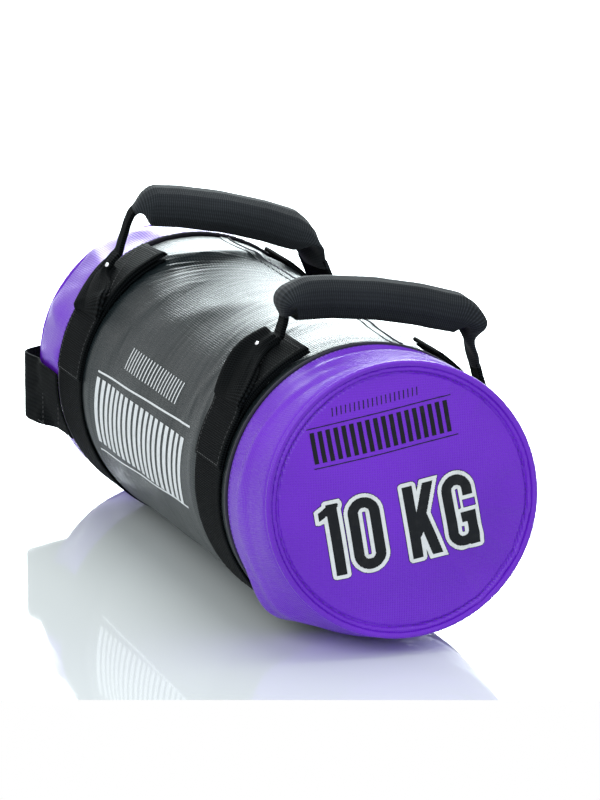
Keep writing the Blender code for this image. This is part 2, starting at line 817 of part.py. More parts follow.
def grip(handle, plan, sleeve_finish, foam_finish, webbing_finish):
    """A grip's sleeve, the foam in it, and the cutter of the slot that the webbing runs through."""
    start = handle.leg_free
    end = start + SLEEVE_LENGTH
    rows = [grip_ring(handle, plan, at, 0.0) for at in shares_between(start, end, GRIP_STATIONS)]
    sleeve = surface(handle.name + "_grip_sleeve", rows, sleeve_finish)
    thicken(sleeve, SLEEVE_WALL, -1.0)
    places = shares_between(start + FOAM_INSET, end - FOAM_INSET, FOAM_STATIONS)
    rows = [grip_ring(handle, plan, at, SLEEVE_WALL + GAP) for at in places]
    first, _ = path_place(plan.path, places[0])
    last, _ = path_place(plan.path, places[-1])
    foam = surface(
        handle.name + "_grip_foam", rows, foam_finish, first_pole=first, last_pole=last
    )
    slot = handle_webbing(handle.name + "_webbing_slot", handle, plan, GAP, webbing_finish)
    cut(foam, slot)
    return sleeve, foam, slot


def pivot(name, place, axis, lean, pieces):
    """An empty on a hinge's axis that carries the moving pieces, turned by the lean."""
    empty = bpy.data.objects.new(name, None)
    MODEL.objects.link(empty)
    empty.location = place
    empty.rotation_mode = "QUATERNION"
    for piece in pieces:
        piece.parent = empty
        piece.matrix_parent_inverse = Matrix.Translation(-place)
    empty.rotation_quaternion = Quaternion(axis, math.radians(lean))


def top_handle(handle, webbing, sleeve_cloth, foam, steel):
    """A top handle with its tabs, sewn ends and rivets."""
    for end in (handle.left, handle.right):
        label = f"{handle.name}_{end.name}"
        profile = anchor_profile(handle.x, end)
        end_tab = tab(label + "_tab", handle.x, end, webbing)
        sewn = anchor(label + "_anchor", end.side, profile, webbing)
        rivet(label + "_rivet", end, profile, (sewn, end_tab), steel)
    plan = handle_plan(handle)
    strap = handle_webbing(handle.name + "_handle_webbing", handle, plan, 0.0, webbing)
    moving = (strap, *grip(handle, plan, sleeve_cloth, foam, webbing))
    axis = (plan.right - plan.left).normalized()
    pivot(handle.name + "_handle_pivot", plan.left, axis, handle.lean, moving)


def side_y(share, height):
    """How far the far band's skin stands out to the side at a height above the bag's axis."""
    radius = far_girth(share).radius_z
    return radius * math.sqrt(max(0.0, 1.0 - (height / radius) ** 2))


def end_anchor(name, side, finish):
    """One sewn end of the end loop: it follows the far band, then runs straight to the hinge."""
    start = FAR_RING_X - RING_WELT_RADIUS - GAP
    stop = END_HINGE_X + END_HORN
    rows = []
    for x in shares_between(stop, start, END_ROWS):
        share = (FAR_RING_X - x) / BAND_WIDTH
        ease = smooth_step((start - x) / END_BLEND_LENGTH)
        row = []
        for across in shares_between(0.5, -0.5, END_COLUMNS):
            height = WEBBING_WIDTH * across - END_DROP
            y = blend(side_y(share, height) + GAP, END_PLANE_Y, ease)
            row.append(Vector((x, side * y, AXIS_Z + height)))
        rows.append(row if side > 0 else row[::-1])
    made = surface(name, rows, finish, closed=False)
    thicken(made, WEBBING_THICKNESS, 1.0)
    return made


def nose_cutter(name, side):
    """The round cut at the end of a sewn end, in which the loop's rounded end turns."""
    radius = END_NOSE_RADIUS + GAP
    reach = WEBBING_THICKNESS / 2 + OVERRUN
    frame = Matrix.Rotation(math.radians(90.0), 4, "X")
    frame.translation = (END_HINGE_X, side * (END_PLANE_Y + WEBBING_THICKNESS / 2), END_Z)
    return cylinder_cutter(name, radius, -reach, reach, COLUMNS, frame)


def end_loop_path():
    """The end loop's path over the far end, seen from above, from the left hinge to the right."""
    half = END_PLANE_Y + WEBBING_THICKNESS / 2
    corner_x = FAR_SEAM_X - END_LOOP_PAST_SEAM
    bow = END_LOOP_REACH - END_LOOP_PAST_SEAM - WEBBING_THICKNESS / 2
    corners = [Vector((END_HINGE_X, -half, END_Z))]
    for share in shares_between(-1.0, 1.0, END_BOW_STEPS):
        corners.append(Vector((corner_x - bow * (1.0 - share**2), half * share, END_Z)))
    corners.append(Vector((END_HINGE_X, half, END_Z)))
    return rounded(corners, END_LOOP_CORNER, END_CORNER_STEPS)


def end_handle(webbing):
    """The webbing loop across the far end, with its two sewn ends."""
    for side_name, side in (("left", -1), ("right", 1)):
        label = f"end_handle_{side_name}"
        sewn = end_anchor(label + "_anchor", side, webbing)
        cut(sewn, nose_cutter(label + "_nose_cut", side))
    path = end_loop_path()
    total = path_length(path)

    def half_width(at):
        from_end = min(at, total - at)
        return blend(END_NOSE_RADIUS, WEBBING_WIDTH / 2, smooth_step(2 * from_end / END_NOSE_RADIUS))

    half_thickness = WEBBING_THICKNESS / 2
    loop = webbing_loft(
        "end_handle_loop",
        path,
        half_width,
        END_LOOP_STATIONS,
        END_NOSE_RADIUS,
        half_thickness,
        ALONG_Z,
        webbing,
    )
    pivot("end_handle_pivot", path[0], ALONG_Y, 0.0, (loop,))


def main():
    """Builds the bag."""
    clear_scene()
    black_vinyl = material("black_vinyl", (0.035, 0.045, 0.05), 0.32)
    purple_vinyl = material("purple_vinyl", (0.16, 0.035, 0.58), 0.34)
    black_cord = material("black_cord", (0.01, 0.01, 0.012), 0.6)
    webbing = material("webbing", (0.012, 0.013, 0.014), 0.8)
    sleeve_cloth = material("sleeve_cloth", (0.018, 0.019, 0.024), 0.85)
    foam = material("foam", (0.3, 0.3, 0.3), 0.9)
    padding = material("padding", (0.75, 0.74, 0.7), 0.95)
    liner = material("liner", (0.6, 0.62, 0.6), 0.5)
    sand = material("sand", (0.5, 0.4, 0.25), 0.95)
    steel = material("rivet_steel", (0.8, 0.8, 0.82), 0.25, 1.0)

    body_cover(black_vinyl)
    lap_seam(black_vinyl)
    band("near_end_band", near_band_row, True, purple_vinyl)
    band("far_end_band", far_band_row, False, purple_vinyl)
    seam_cord("near_ring_welt", body_row(NEAR_RING_X), RING_WELT_RADIUS, black_cord)
    seam_cord("far_ring_welt", body_row(FAR_RING_X), RING_WELT_RADIUS, black_cord)
    seam_cord("near_panel_piping", near_band_row(1.0), PIPING_RADIUS, purple_vinyl)
    seam_cord("far_panel_piping", far_band_row(1.0), PIPING_RADIUS, purple_vinyl)
    panel("near_end_panel", NEAR_SEAM_X, near_girth(1.0), 1.0, purple_vinyl)
    panel("far_end_panel", FAR_SEAM_X, far_girth(1.0), -1.0, purple_vinyl)
    end_foam("near_end_foam", near_band_row, near_girth, NEAR_RING_X, 1.0, foam)
    end_foam("far_end_foam", far_band_row, far_girth, FAR_RING_X, -1.0, foam)
    filling(padding, liner, sand)
    girth_strap("near_girth_strap", NEAR_STRAP_X, webbing)
    girth_strap("far_girth_strap", FAR_STRAP_X, webbing)
    for handle in HANDLES:
        top_handle(handle, webbing, sleeve_cloth, foam, steel)
    end_handle(webbing)


main()
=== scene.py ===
"""Looks for a fitness power bag: a padded vinyl bag of sand with webbing handles, on a pale floor.

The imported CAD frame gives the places. The bag's long axis runs along X with the weight mark at +X,
its left side is -Y, and angles round it are measured from the top towards the right side. All
lengths are in metres.
"""

import logging
import math
from collections.abc import Callable, Sequence
from dataclasses import dataclass, field
from enum import Enum

import bmesh
import bpy
import numpy as np
from mathutils import Matrix, Quaternion, Vector
from mathutils.bvhtree import BVHTree


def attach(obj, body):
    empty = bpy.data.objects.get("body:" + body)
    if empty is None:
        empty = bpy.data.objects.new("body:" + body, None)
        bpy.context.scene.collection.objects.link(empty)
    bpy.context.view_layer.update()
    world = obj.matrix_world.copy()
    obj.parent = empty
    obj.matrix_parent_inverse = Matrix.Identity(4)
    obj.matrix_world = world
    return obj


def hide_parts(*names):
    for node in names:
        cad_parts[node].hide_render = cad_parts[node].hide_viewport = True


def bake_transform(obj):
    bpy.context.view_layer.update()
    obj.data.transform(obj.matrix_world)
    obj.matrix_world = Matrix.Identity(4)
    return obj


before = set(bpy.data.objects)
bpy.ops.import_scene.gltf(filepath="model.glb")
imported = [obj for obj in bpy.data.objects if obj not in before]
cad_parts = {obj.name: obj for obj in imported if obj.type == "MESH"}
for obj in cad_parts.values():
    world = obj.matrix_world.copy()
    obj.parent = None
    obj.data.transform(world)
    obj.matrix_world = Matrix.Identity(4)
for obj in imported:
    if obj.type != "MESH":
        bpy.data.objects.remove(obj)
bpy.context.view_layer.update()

LOG = logging.getLogger("power_bag")
Array = np.ndarray
Pair = tuple[float, float]
Triple = tuple[float, float, float]
Place = Callable[[Array, Array], tuple[Array, Array]]


class Slot(Enum):
    """The record's material slots of the pieces that are made here."""

    BLACK_VINYL = "black_vinyl"
    PURPLE_VINYL = "purple_vinyl"
    CORD = "black_cord"
    WEBBING = "webbing"
    SLEEVE = "sleeve_cloth"
    STEEL = "rivet_steel"


class Side(Enum):
    """The two sides of the bag, as the sign of Y."""

    LEFT = -1
    RIGHT = 1


@dataclass(frozen=True)
class BagSizes:
    """Lengths along and round the bag.

    near_ring and far_ring are the seams beside the tube, band the length of an end band, and
    near_strap and far_strap the straps' middles. The near band tapers by the two near drops, and
    its panel lies near_right and near_rise off the axis and leans by near_lean_y and near_lean_z.
    The far band tapers by far_drop. floor_lift is how high the vinyl stays over the floor.
    """

    radius: float = 0.100
    axis_z: float = 0.0994
    floor_lift: float = 0.0019
    band: float = 0.0681
    near_ring: float = 0.2035818
    far_ring: float = -0.1618182
    near_strap: float = 0.1693818
    far_strap: float = -0.1353182
    webbing: float = 0.050
    webbing_thick: float = 0.0016
    gap: float = 0.0003
    crown: float = 0.0070
    piping: float = 0.0018
    welt: float = 0.0011
    near_drop_y: float = 0.0061
    near_drop_z: float = 0.0071
    near_right: float = 0.0014
    near_rise: float = 0.0076
    near_lean_y: float = 0.051
    near_lean_z: float = 0.074
    far_drop: float = 0.0060

    @property
    def near_seam(self) -> float:
        """X of the seam between the near band and its panel."""
        return self.near_ring + self.band

    @property
    def far_seam(self) -> float:
        """X of the seam between the far band and its panel."""
        return self.far_ring - self.band


BAG = BagSizes()


def ease(share: Array) -> Array:
    """Eases from 0 to 1."""
    share = np.clip(share, 0.0, 1.0)
    return share * share * (3.0 - 2.0 * share)


def hump(distance: Array, width: float) -> Array:
    """A bell that is 1 at the middle and fades over the width."""
    return np.exp(-((distance / width) ** 2))


def signed(degrees: Array) -> Array:
    """The angles between -180 and 180."""
    return (degrees + 180.0) % 360.0 - 180.0


@dataclass(frozen=True)
class Ripples:
    """Soft random swellings that close up round the bag.

    along is the range of wavelengths along the bag and turns the range of waves in one turn.
    """

    seed: int
    count: int
    along: Pair
    turns: tuple[int, int]

    def at(self, x: Array, degrees: Array) -> Array:
        """The height of the swellings.

        Args:
            x: Places along the bag.
            degrees: Angles round it.

        Returns:
            Heights of about -1 to 1.
        """
        draw = np.random.default_rng(self.seed)
        total = np.zeros(np.broadcast(x, degrees).shape)
        for _ in range(self.count):
            wave = draw.uniform(*self.along)
            turns = draw.integers(self.turns[0], self.turns[1] + 1) * draw.choice((-1, 1))
            phase = draw.uniform(0.0, 2.0 * math.pi)
            total += np.sin(2.0 * math.pi * x / wave + turns * np.radians(degrees) + phase)
        return total / math.sqrt(self.count)


@dataclass(frozen=True)
class Crease:
    """One long soft ridge, or valley when its height is negative.

    tilt is measured from the bag's length towards rising angles.
    """

    x: float
    degrees: float
    tilt: float
    length: float
    width: float
    height: float

    def at(self, x: Array, degrees: Array) -> Array:
        """The height that the ridge adds.

        Args:
            x: Places along the bag.
            degrees: Angles round it.

        Returns:
            Heights in metres.
        """
        turn = math.radians(self.tilt)
        girth = np.radians(signed(degrees - self.degrees)) * BAG.radius
        along = (x - self.x) * math.cos(turn) + girth * math.sin(turn)
        across = girth * math.cos(turn) - (x - self.x) * math.sin(turn)
        return self.height * hump(along, self.length) * hump(across, self.width)


@dataclass(frozen=True)
class Skin:
    """The bag's outer surface, with the dents and wrinkles of its vinyl.

    tube_rise, near_rise and far_rise are the sizes of the three fields of ripples, deepest is
    the lowest dent, and bulge is the height of the near band's swelling at its lower left.
    """

    tube: Ripples = Ripples(11, 7, (0.07, 0.16), (1, 4))
    near: Ripples = Ripples(23, 8, (0.020, 0.060), (1, 5))
    far: Ripples = Ripples(37, 9, (0.050, 0.160), (4, 13))
    tube_rise: float = 0.00045
    near_rise: float = 0.0007
    far_rise: float = 0.0010
    deepest: float = -0.0011
    bulge: float = 0.0078
    bulge_x: float = 0.2220
    bulge_degrees: float = -136.0
    creases: tuple[Crease, ...] = (
        Crease(0.234, -62.0, 84.0, 0.050, 0.0050, 0.0016),
        Crease(0.248, -30.0, 78.0, 0.040, 0.0040, -0.0012),
        Crease(0.226, -20.0, 80.0, 0.038, 0.0050, 0.0014),
        Crease(0.242, -95.0, 92.0, 0.045, 0.0045, -0.0010),
        Crease(0.232, -118.0, 96.0, 0.040, 0.0060, 0.0016),
        Crease(0.252, 12.0, 100.0, 0.030, 0.0040, 0.0010),
        Crease(-0.195, -84.0, 8.0, 0.030, 0.0070, 0.0024),
        Crease(-0.200, -66.0, -10.0, 0.030, 0.0080, 0.0026),
        Crease(-0.190, -50.0, 12.0, 0.026, 0.0060, -0.0008),
        Crease(-0.204, -36.0, -6.0, 0.028, 0.0080, 0.0022),
        Crease(-0.192, -14.0, 9.0, 0.030, 0.0070, 0.0018),
        Crease(-0.060, -52.0, 70.0, 0.050, 0.0080, 0.0010),
        Crease(0.020, -30.0, 40.0, 0.080, 0.0120, 0.0010),
        Crease(0.110, -58.0, 75.0, 0.050, 0.0060, 0.0008),
    )

    def swell(self, x: Array, degrees: Array) -> Array:
        """How far the vinyl stands out from its plain shape.

        Args:
            x: Places along the bag.
            degrees: Angles round it.

        Returns:
            Heights in metres.
        """
        near = ease((x - BAG.near_ring) / 0.012)
        far = ease((BAG.far_ring - x) / 0.012)
        middle = (1.0 - near) * (1.0 - far)
        rise = self.tube_rise * middle * self.tube.at(x, degrees)
        rise += near * self.near_rise * (0.6 + self.near.at(x, degrees))
        rise += far * self.far_rise * (0.8 + self.far.at(x, degrees))
        for crease in self.creases:
            rise += crease.at(x, degrees)
        around = hump(signed(degrees) - self.bulge_degrees, 13.0)
        rise += near * self.bulge * hump(x - self.bulge_x, 0.024) * around
        rise += middle * (self._pinches(x) + self._gathers(x, degrees))
        return np.maximum(rise, self.deepest) * self._held(x) * self._off_floor(degrees)

    def _pinches(self, x: Array) -> Array:
        """The swelling beside each girth strap, which draws the bag in."""
        rise = np.zeros_like(x)
        for strap in (BAG.near_strap, BAG.far_strap):
            rise += 0.0011 * hump(np.abs(x - strap) - 0.036, 0.010)
            rise -= 0.0005 * hump(x - strap, 0.026)
        return rise

    def _gathers(self, x: Array, degrees: Array) -> Array:
        """Slanted ridges in the vinyl beside the straps, strongest near the top."""
        away = signed(degrees)
        rise = np.zeros_like(x)
        for edge, reach, pitch, slant, height, middle in (
            (BAG.far_strap + 0.024, 0.046, 0.0096, 0.00150, 0.00100, -14.0),
            (BAG.near_strap - 0.024, -0.040, 0.0120, -0.00050, 0.00045, -38.0),
        ):
            out = (x - slant * (away - middle) - edge) / reach
            phase = 2.0 * math.pi * (x - slant * away) / pitch
            wave = np.sin(phase + 0.8 * np.sin(phase * 0.37 + 0.03 * away))
            window = np.exp(-np.maximum(out, 0.0) ** 1.5) * ease((out + 0.3) * 3.0)
            spread = hump(away - middle, 36.0)
            rise += height * (wave * np.abs(wave) ** 0.3) * window * spread
        return rise

    def _held(self, x: Array) -> Array:
        """Fades the wrinkles where a seam holds the vinyl."""
        held = np.ones_like(x)
        for seam in (BAG.near_ring, BAG.far_ring, BAG.near_seam, BAG.far_seam):
            held *= 1.0 - 0.85 * hump(x - seam, 0.006)
        return held

    def _off_floor(self, degrees: Array) -> Array:
        """Fades the wrinkles where the bag presses on the floor."""
        return 1.0 - 0.9 * ease((np.abs(signed(degrees)) - 140.0) / 20.0)

    def point(self, x: Array, degrees: Array, lift: Array | float = 0.0) -> Array:
        """Points on the bag.

        Args:
            x: Places along the bag.
            degrees: Angles from the top towards the right side.
            lift: Height off the skin.

        Returns:
            An array of points.
        """
        x, degrees, lift = np.broadcast_arrays(
            np.asarray(x, float), np.asarray(degrees, float), np.asarray(lift, float)
        )
        near = np.clip((x - BAG.near_ring) / BAG.band, 0.0, 1.05) ** 2
        far = np.clip((BAG.far_ring - x) / BAG.band, 0.0, 1.05) ** 2
        stand = lift + self.swell(x, degrees)
        radius_y = BAG.radius - BAG.near_drop_y * near - BAG.far_drop * far + stand
        radius_z = BAG.radius - BAG.near_drop_z * near - BAG.far_drop * far + stand
        turn = np.radians(degrees)
        across = radius_y * np.sin(turn)
        up = radius_z * np.cos(turn)
        lean = near * (BAG.near_lean_y * across - BAG.near_lean_z * up)
        height = BAG.axis_z + BAG.near_rise * near + up
        height = np.maximum(height, BAG.floor_lift - np.minimum(lift, BAG.floor_lift))
        return np.stack((x + lean, BAG.near_right * near + across, height), axis=-1)


SKIN = Skin()


def unit(vectors: Array) -> Array:
    """The vectors at length 1."""
    return vectors / np.maximum(np.linalg.norm(vectors, axis=-1, keepdims=True), 1e-12)


def headings(points: Array) -> Array:
    """The directions along a path of points."""
    return unit(np.gradient(points, axis=0))


def squared(wide: Array, ahead: Array) -> Array:
    """The directions turned to right angles with the headings, at length 1."""
    return unit(wide - ahead * np.sum(wide * ahead, axis=-1, keepdims=True))


def outward(degrees: Array) -> Array:
    """The directions straight away from the bag's axis."""
    turn = np.radians(degrees)
    return np.stack((np.zeros_like(turn), np.sin(turn), np.cos(turn)), axis=-1)


def distances(points: Array) -> Array:
    """How far along its path each point lies."""
    steps = np.linalg.norm(np.diff(points, axis=0), axis=1)
    return np.concatenate(([0.0], np.cumsum(steps)))


def points_at(at: Array | float, reach: Array, points: Array) -> Array:
    """The places on a path that lie as far along it as asked, given how far its points lie."""
    return np.stack([np.interp(at, reach, points[:, i]) for i in range(3)], axis=-1)


def smooth_through(rows: Sequence[Sequence[float]], count: int) -> Array:
    """A smooth line through rows of numbers, of which the first three are a place.

    Args:
        rows: The control rows.
        count: How many rows come out.

    Returns:
        An array of evenly spaced rows.
    """
    table = np.asarray(rows, float)
    knots = distances(table[:, :3])
    slopes = np.gradient(table, knots, axis=0)
    fine = np.linspace(0.0, knots[-1], count)
    low = np.clip(np.searchsorted(knots, fine, side="right") - 1, 0, len(knots) - 2)
    span = knots[low + 1] - knots[low]
    t = ((fine - knots[low]) / span)[:, None]
    span = span[:, None]
    return (
        (2 * t**3 - 3 * t**2 + 1) * table[low]
        + (t**3 - 2 * t**2 + t) * span * slopes[low]
        + (3 * t**2 - 2 * t**3) * table[low + 1]
        + (t**3 - t**2) * span * slopes[low + 1]
    )


class Workshop:
    """Turns meshes into finished pieces that ride on the CAD bodies."""

    @staticmethod
    def grid(name: str, columns: int, rows: int, place: Place) -> bpy.types.Object:
        """Shapes a flat grid into a closed piece.

        Args:
            name: The piece's name.
            columns: Faces across the grid.
            rows: Faces along it.
            place: Gives points and UV places for the column and row numbers of the corners.

        Returns:
            The piece, with its joining edges and poles merged.
        """
        shell = bmesh.new()
        bmesh.ops.create_grid(shell, x_segments=columns, y_segments=rows, size=0.5)
        flat = np.array([corner.co for corner in shell.verts])
        numbers = np.rint((flat[:, :2] + 0.5) * (columns, rows)).astype(int)
        points, places = place(numbers[:, 0], numbers[:, 1])
        layer = shell.loops.layers.uv.new("UVMap")
        for face in shell.faces:
            for loop in face.loops:
                loop[layer].uv = places[loop.vert.index]
        for corner, point in zip(shell.verts, points):
            corner.co = point
        bmesh.ops.remove_doubles(shell, verts=shell.verts[:], dist=1e-6)
        bmesh.ops.dissolve_degenerate(shell, edges=shell.edges[:], dist=1e-7)
        bmesh.ops.recalc_face_normals(shell, faces=shell.faces[:])
        return Workshop.piece(name, shell)

    @staticmethod
    def tube(name: str, path: Array, radius: float, sides: int = 8) -> bpy.types.Object:
        """Makes a round strand with closed ends.

        Args:
            name: The piece's name.
            path: Points along its middle.
            radius: Its radius.
            sides: Faces round it.

        Returns:
            The piece.
        """
        last = len(path) - 1
        ahead = headings(path)
        beside = unit(np.cross(ahead, (0.31, 0.22, 0.92)))
        over = np.cross(ahead, beside)
        reach = distances(path)

        def place(column: Array, row: Array) -> tuple[Array, Array]:
            turn = 2.0 * math.pi * (column % sides) / sides
            thin = np.where((row == 0) | (row == last), 0.0, radius)[:, None]
            spoke = beside[row] * np.cos(turn)[:, None] + over[row] * np.sin(turn)[:, None]
            return path[row] + spoke * thin, np.stack((turn * radius, reach[row]), axis=-1)

        return Workshop.grid(name, sides, last, place)

    @staticmethod
    def revolved(outline: Sequence[Pair], name: str, turn: Matrix) -> bpy.types.Object:
        """Makes a turned piece from reaches and heights that begin and end on its axis.

        Args:
            outline: The reach from the axis and the height of each point.
            name: The piece's name.
            turn: Where the piece goes.

        Returns:
            The piece.
        """
        rings = np.asarray(outline, float)
        sides = 28

        def place(column: Array, row: Array) -> tuple[Array, Array]:
            angle = 2.0 * math.pi * (column % sides) / sides
            reach = rings[row, 0]
            spots = np.stack((reach * np.cos(angle), reach * np.sin(angle), rings[row, 1]), axis=-1)
            moved = spots @ np.array(turn.to_3x3()).T + np.array(turn.translation)
            return moved, spots[:, :2]

        return Workshop.grid(name, sides, len(rings) - 1, place)

    @staticmethod
    def piece(name: str, shell: bmesh.types.BMesh, sharp: float = 50.0) -> bpy.types.Object:
        """Links a mesh as a piece.

        Args:
            name: The piece's name.
            shell: The mesh, which is freed.
            sharp: The angle past which an edge stays sharp.

        Returns:
            The piece.
        """
        mesh = bpy.data.meshes.new(name)
        shell.to_mesh(mesh)
        shell.free()
        mesh.shade_smooth()
        mesh.set_sharp_from_angle(angle=math.radians(sharp))
        made = bpy.data.objects.new(name, mesh)
        bpy.context.scene.collection.objects.link(made)
        return made

    @staticmethod
    def finish(
        made: bpy.types.Object,
        finish: bpy.types.Material,
        slot: Slot,
        nodes: Sequence[str] = (),
        body: str | None = "bag",
    ) -> None:
        """Dresses a piece and ties it to the frame.

        Args:
            made: The piece.
            finish: Its material.
            slot: Not used.
            nodes: CAD nodes that it stands for.
            body: The CAD body that it rides on, or None to leave it tied to no body.
        """
        made.data.materials.clear()
        made.data.materials.append(finish)
        if body is not None:
            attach(made, body)
        if nodes:
            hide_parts(*nodes)
        LOG.info("%s: %d faces", made.name, len(made.data.polygons))


class Surface:
    """A finished piece's surface, on which stitches and rivets are set."""

    def __init__(self, made: bpy.types.Object) -> None:
        """Sorts the piece's faces for a quick search."""
        corners = [corner.co for corner in made.data.vertices]
        faces = [tuple(face.vertices) for face in made.data.polygons]
        self.tree = BVHTree.FromPolygons(corners, faces)

    def meet(self, outside: Vector, inward: Vector) -> tuple[Vector | None, Vector | None]:
        """Finds where a straight line from outside meets the piece.

        Args:
            outside: A point outside it.
            inward: The line's direction.

        Returns:
            The place and the surface's outward direction there, or None where it is missed.
        """
        place, normal, _, _ = self.tree.ray_cast(outside, inward)
        if place is None:
            return None, None
        return place, normal if normal.dot(inward) < 0.0 else -normal


@dataclass(frozen=True)
class Webbing:
    """A flat woven strap along a path, closed all round, with its ends sealed.

    Every array has one row for each station, and half and thick may be one length for them all.
    fold lifts the weave at each station and column.
    """

    centre: Array
    wide: Array
    out: Array
    half: Array | float
    thick: Array | float
    fold: Callable[[Array, Array], Array] | None = None
    cloth: float = BAG.webbing
    columns: int = 14

    def profile(self) -> tuple[Array, Array]:
        """The section's places across, from -1 to 1, and through, from -1 to 1."""
        flat = np.linspace(-0.97, 0.97, self.columns)
        across = np.concatenate((flat, [1.0, 1.0], flat[::-1], [-1.0, -1.0]))
        through = np.concatenate(
            (np.ones(self.columns), [0.55, -0.55], -np.ones(self.columns), [-0.55, 0.55])
        )
        return across, through

    def build(self, name: str) -> bpy.types.Object:
        """Builds the strap.

        Args:
            name: The piece's name.

        Returns:
            The piece.
        """
        across, through = self.profile()
        count = len(across)
        last = len(self.centre) - 1
        reach = distances(self.centre)
        step = reach[-1] / last
        half, thick = (np.broadcast_to(size, last + 1) for size in (self.half, self.thick))

        def place(column: Array, row: Array) -> tuple[Array, Array]:
            turn = column % count
            a = across[turn][:, None]
            edge = np.minimum(row, last - row)
            seal = np.where(edge == 0, 0.0, np.where(edge == 1, 0.8, 1.0))
            h = (through[turn] * seal)[:, None]
            lift = h * thick[row][:, None] / 2
            if self.fold is not None:
                lift = lift + self.fold(a[:, 0], row)[:, None]
            squeeze = np.where(edge == 0, 0.5, 0.0) * thick[row] / step
            inner = np.clip(row + np.where(row < last / 2, 1, -1), 0, last)
            middle = self.centre[row] + (self.centre[inner] - self.centre[row]) * (
                np.minimum(squeeze, 0.4)[:, None]
            )
            points = middle + self.wide[row] * a * half[row][:, None] + self.out[row] * lift
            return points, np.stack((a[:, 0] * self.cloth / 2, reach[row]), axis=-1)

        return Workshop.grid(name, count, last, place)


def round_bag(x: float, degrees: Array, lift: Array | float) -> tuple[Array, Array, Array]:
    """A strap's path round the bag.

    Args:
        x: Its middle.
        degrees: The angle of each station.
        lift: The height of its middle layer off the skin.

    Returns:
        The centres, the width's directions and the outward directions.
    """
    centre = SKIN.point(x, degrees, lift + 0.0004 - SKIN.swell(np.full_like(degrees, x), degrees))
    centre[:, 0] = x
    wide = np.tile((1.0, 0.0, 0.0), (len(centre), 1))
    out = unit(np.cross(wide, headings(centre)))
    flip = np.sign(np.sum(out * outward(degrees), axis=-1, keepdims=True))
    return centre, wide, out * flip


@dataclass(frozen=True)
class Thread:
    """A row of sewn stitches, each a small rounded bead of thread pressed into the cloth."""

    pitch: float = 0.0034
    length: float = 0.0026
    radius: float = 0.00032

    def sew(self, shell: bmesh.types.BMesh, path: Array, out: Array) -> None:
        """Adds the stitches along a path.

        Args:
            shell: The mesh that gets them.
            path: Points on the cloth.
            out: The cloth's outward direction at each point.
        """
        reach = distances(path)
        count = max(1, int(reach[-1] / self.pitch))
        ahead = headings(path)
        size = Matrix.Diagonal((self.length / 2, self.radius, self.radius, 1.0))
        quarter = Matrix.Rotation(math.pi / 2, 4, "Y")
        for at in (np.arange(count) + 0.5) * reach[-1] / count:
            spot, along, away = (Vector(points_at(at, reach, rows)) for rows in (path, ahead, out))
            along.normalize()
            beside = away.cross(along).normalized()
            turn = Matrix((along, beside, along.cross(beside))).transposed().to_4x4()
            stand = Matrix.Translation(spot) @ turn @ size @ quarter
            bmesh.ops.create_uvsphere(shell, u_segments=6, v_segments=4, radius=1.0, matrix=stand)

    def make(
        self,
        name: str,
        rows: Sequence[tuple[Array, Array]],
        finish: bpy.types.Material,
        slot: Slot,
    ) -> None:
        """Makes and dresses rows of stitches as one piece.

        Args:
            name: The piece's name.
            rows: The path of each row, with the cloth's outward directions.
            finish: The thread's material.
            slot: Handed on to Workshop.finish, which does not use it.
        """
        shell = bmesh.new()
        for path, out in rows:
            self.sew(shell, path, out)
        Workshop.finish(Workshop.piece(name, shell), finish, slot)


class Value:
    """A node socket that takes part in arithmetic."""

    def __init__(self, paper: "Recipe", socket: bpy.types.NodeSocket) -> None:
        """Wraps a socket of a recipe."""
        self.paper = paper
        self.socket = socket

    def _math(self, operation: str, *values: "Value | float") -> "Value":
        """Adds a Math node."""
        inputs = {i: value for i, value in enumerate(values)}
        return self.paper.value("ShaderNodeMath", {"operation": operation}, inputs)

    def __add__(self, other: "Value | float") -> "Value":
        """Adds."""
        return self._math("ADD", self, other)

    __radd__ = __add__

    def __sub__(self, other: "Value | float") -> "Value":
        """Takes the other away."""
        return self._math("SUBTRACT", self, other)

    def __rsub__(self, other: float) -> "Value":
        """Takes this away from the other."""
        return self._math("SUBTRACT", other, self)

    def __mul__(self, other: "Value | float") -> "Value":
        """Multiplies."""
        return self._math("MULTIPLY", self, other)

    __rmul__ = __mul__

    def sine(self) -> "Value":
        """The sine."""
        return self._math("SINE", self)

    def size(self) -> "Value":
        """The absolute value."""
        return self._math("ABSOLUTE", self)

    def power(self, exponent: float) -> "Value":
        """This to a power."""
        return self._math("POWER", self, exponent)

    def between(self, low: float, high: float) -> "Value":
        """Eases from 0 at low to 1 at high."""
        return self.paper.value(
            "ShaderNodeMapRange",
            {"interpolation_type": "SMOOTHSTEP"},
            {"Value": self, "From Min": low, "From Max": high},
        )


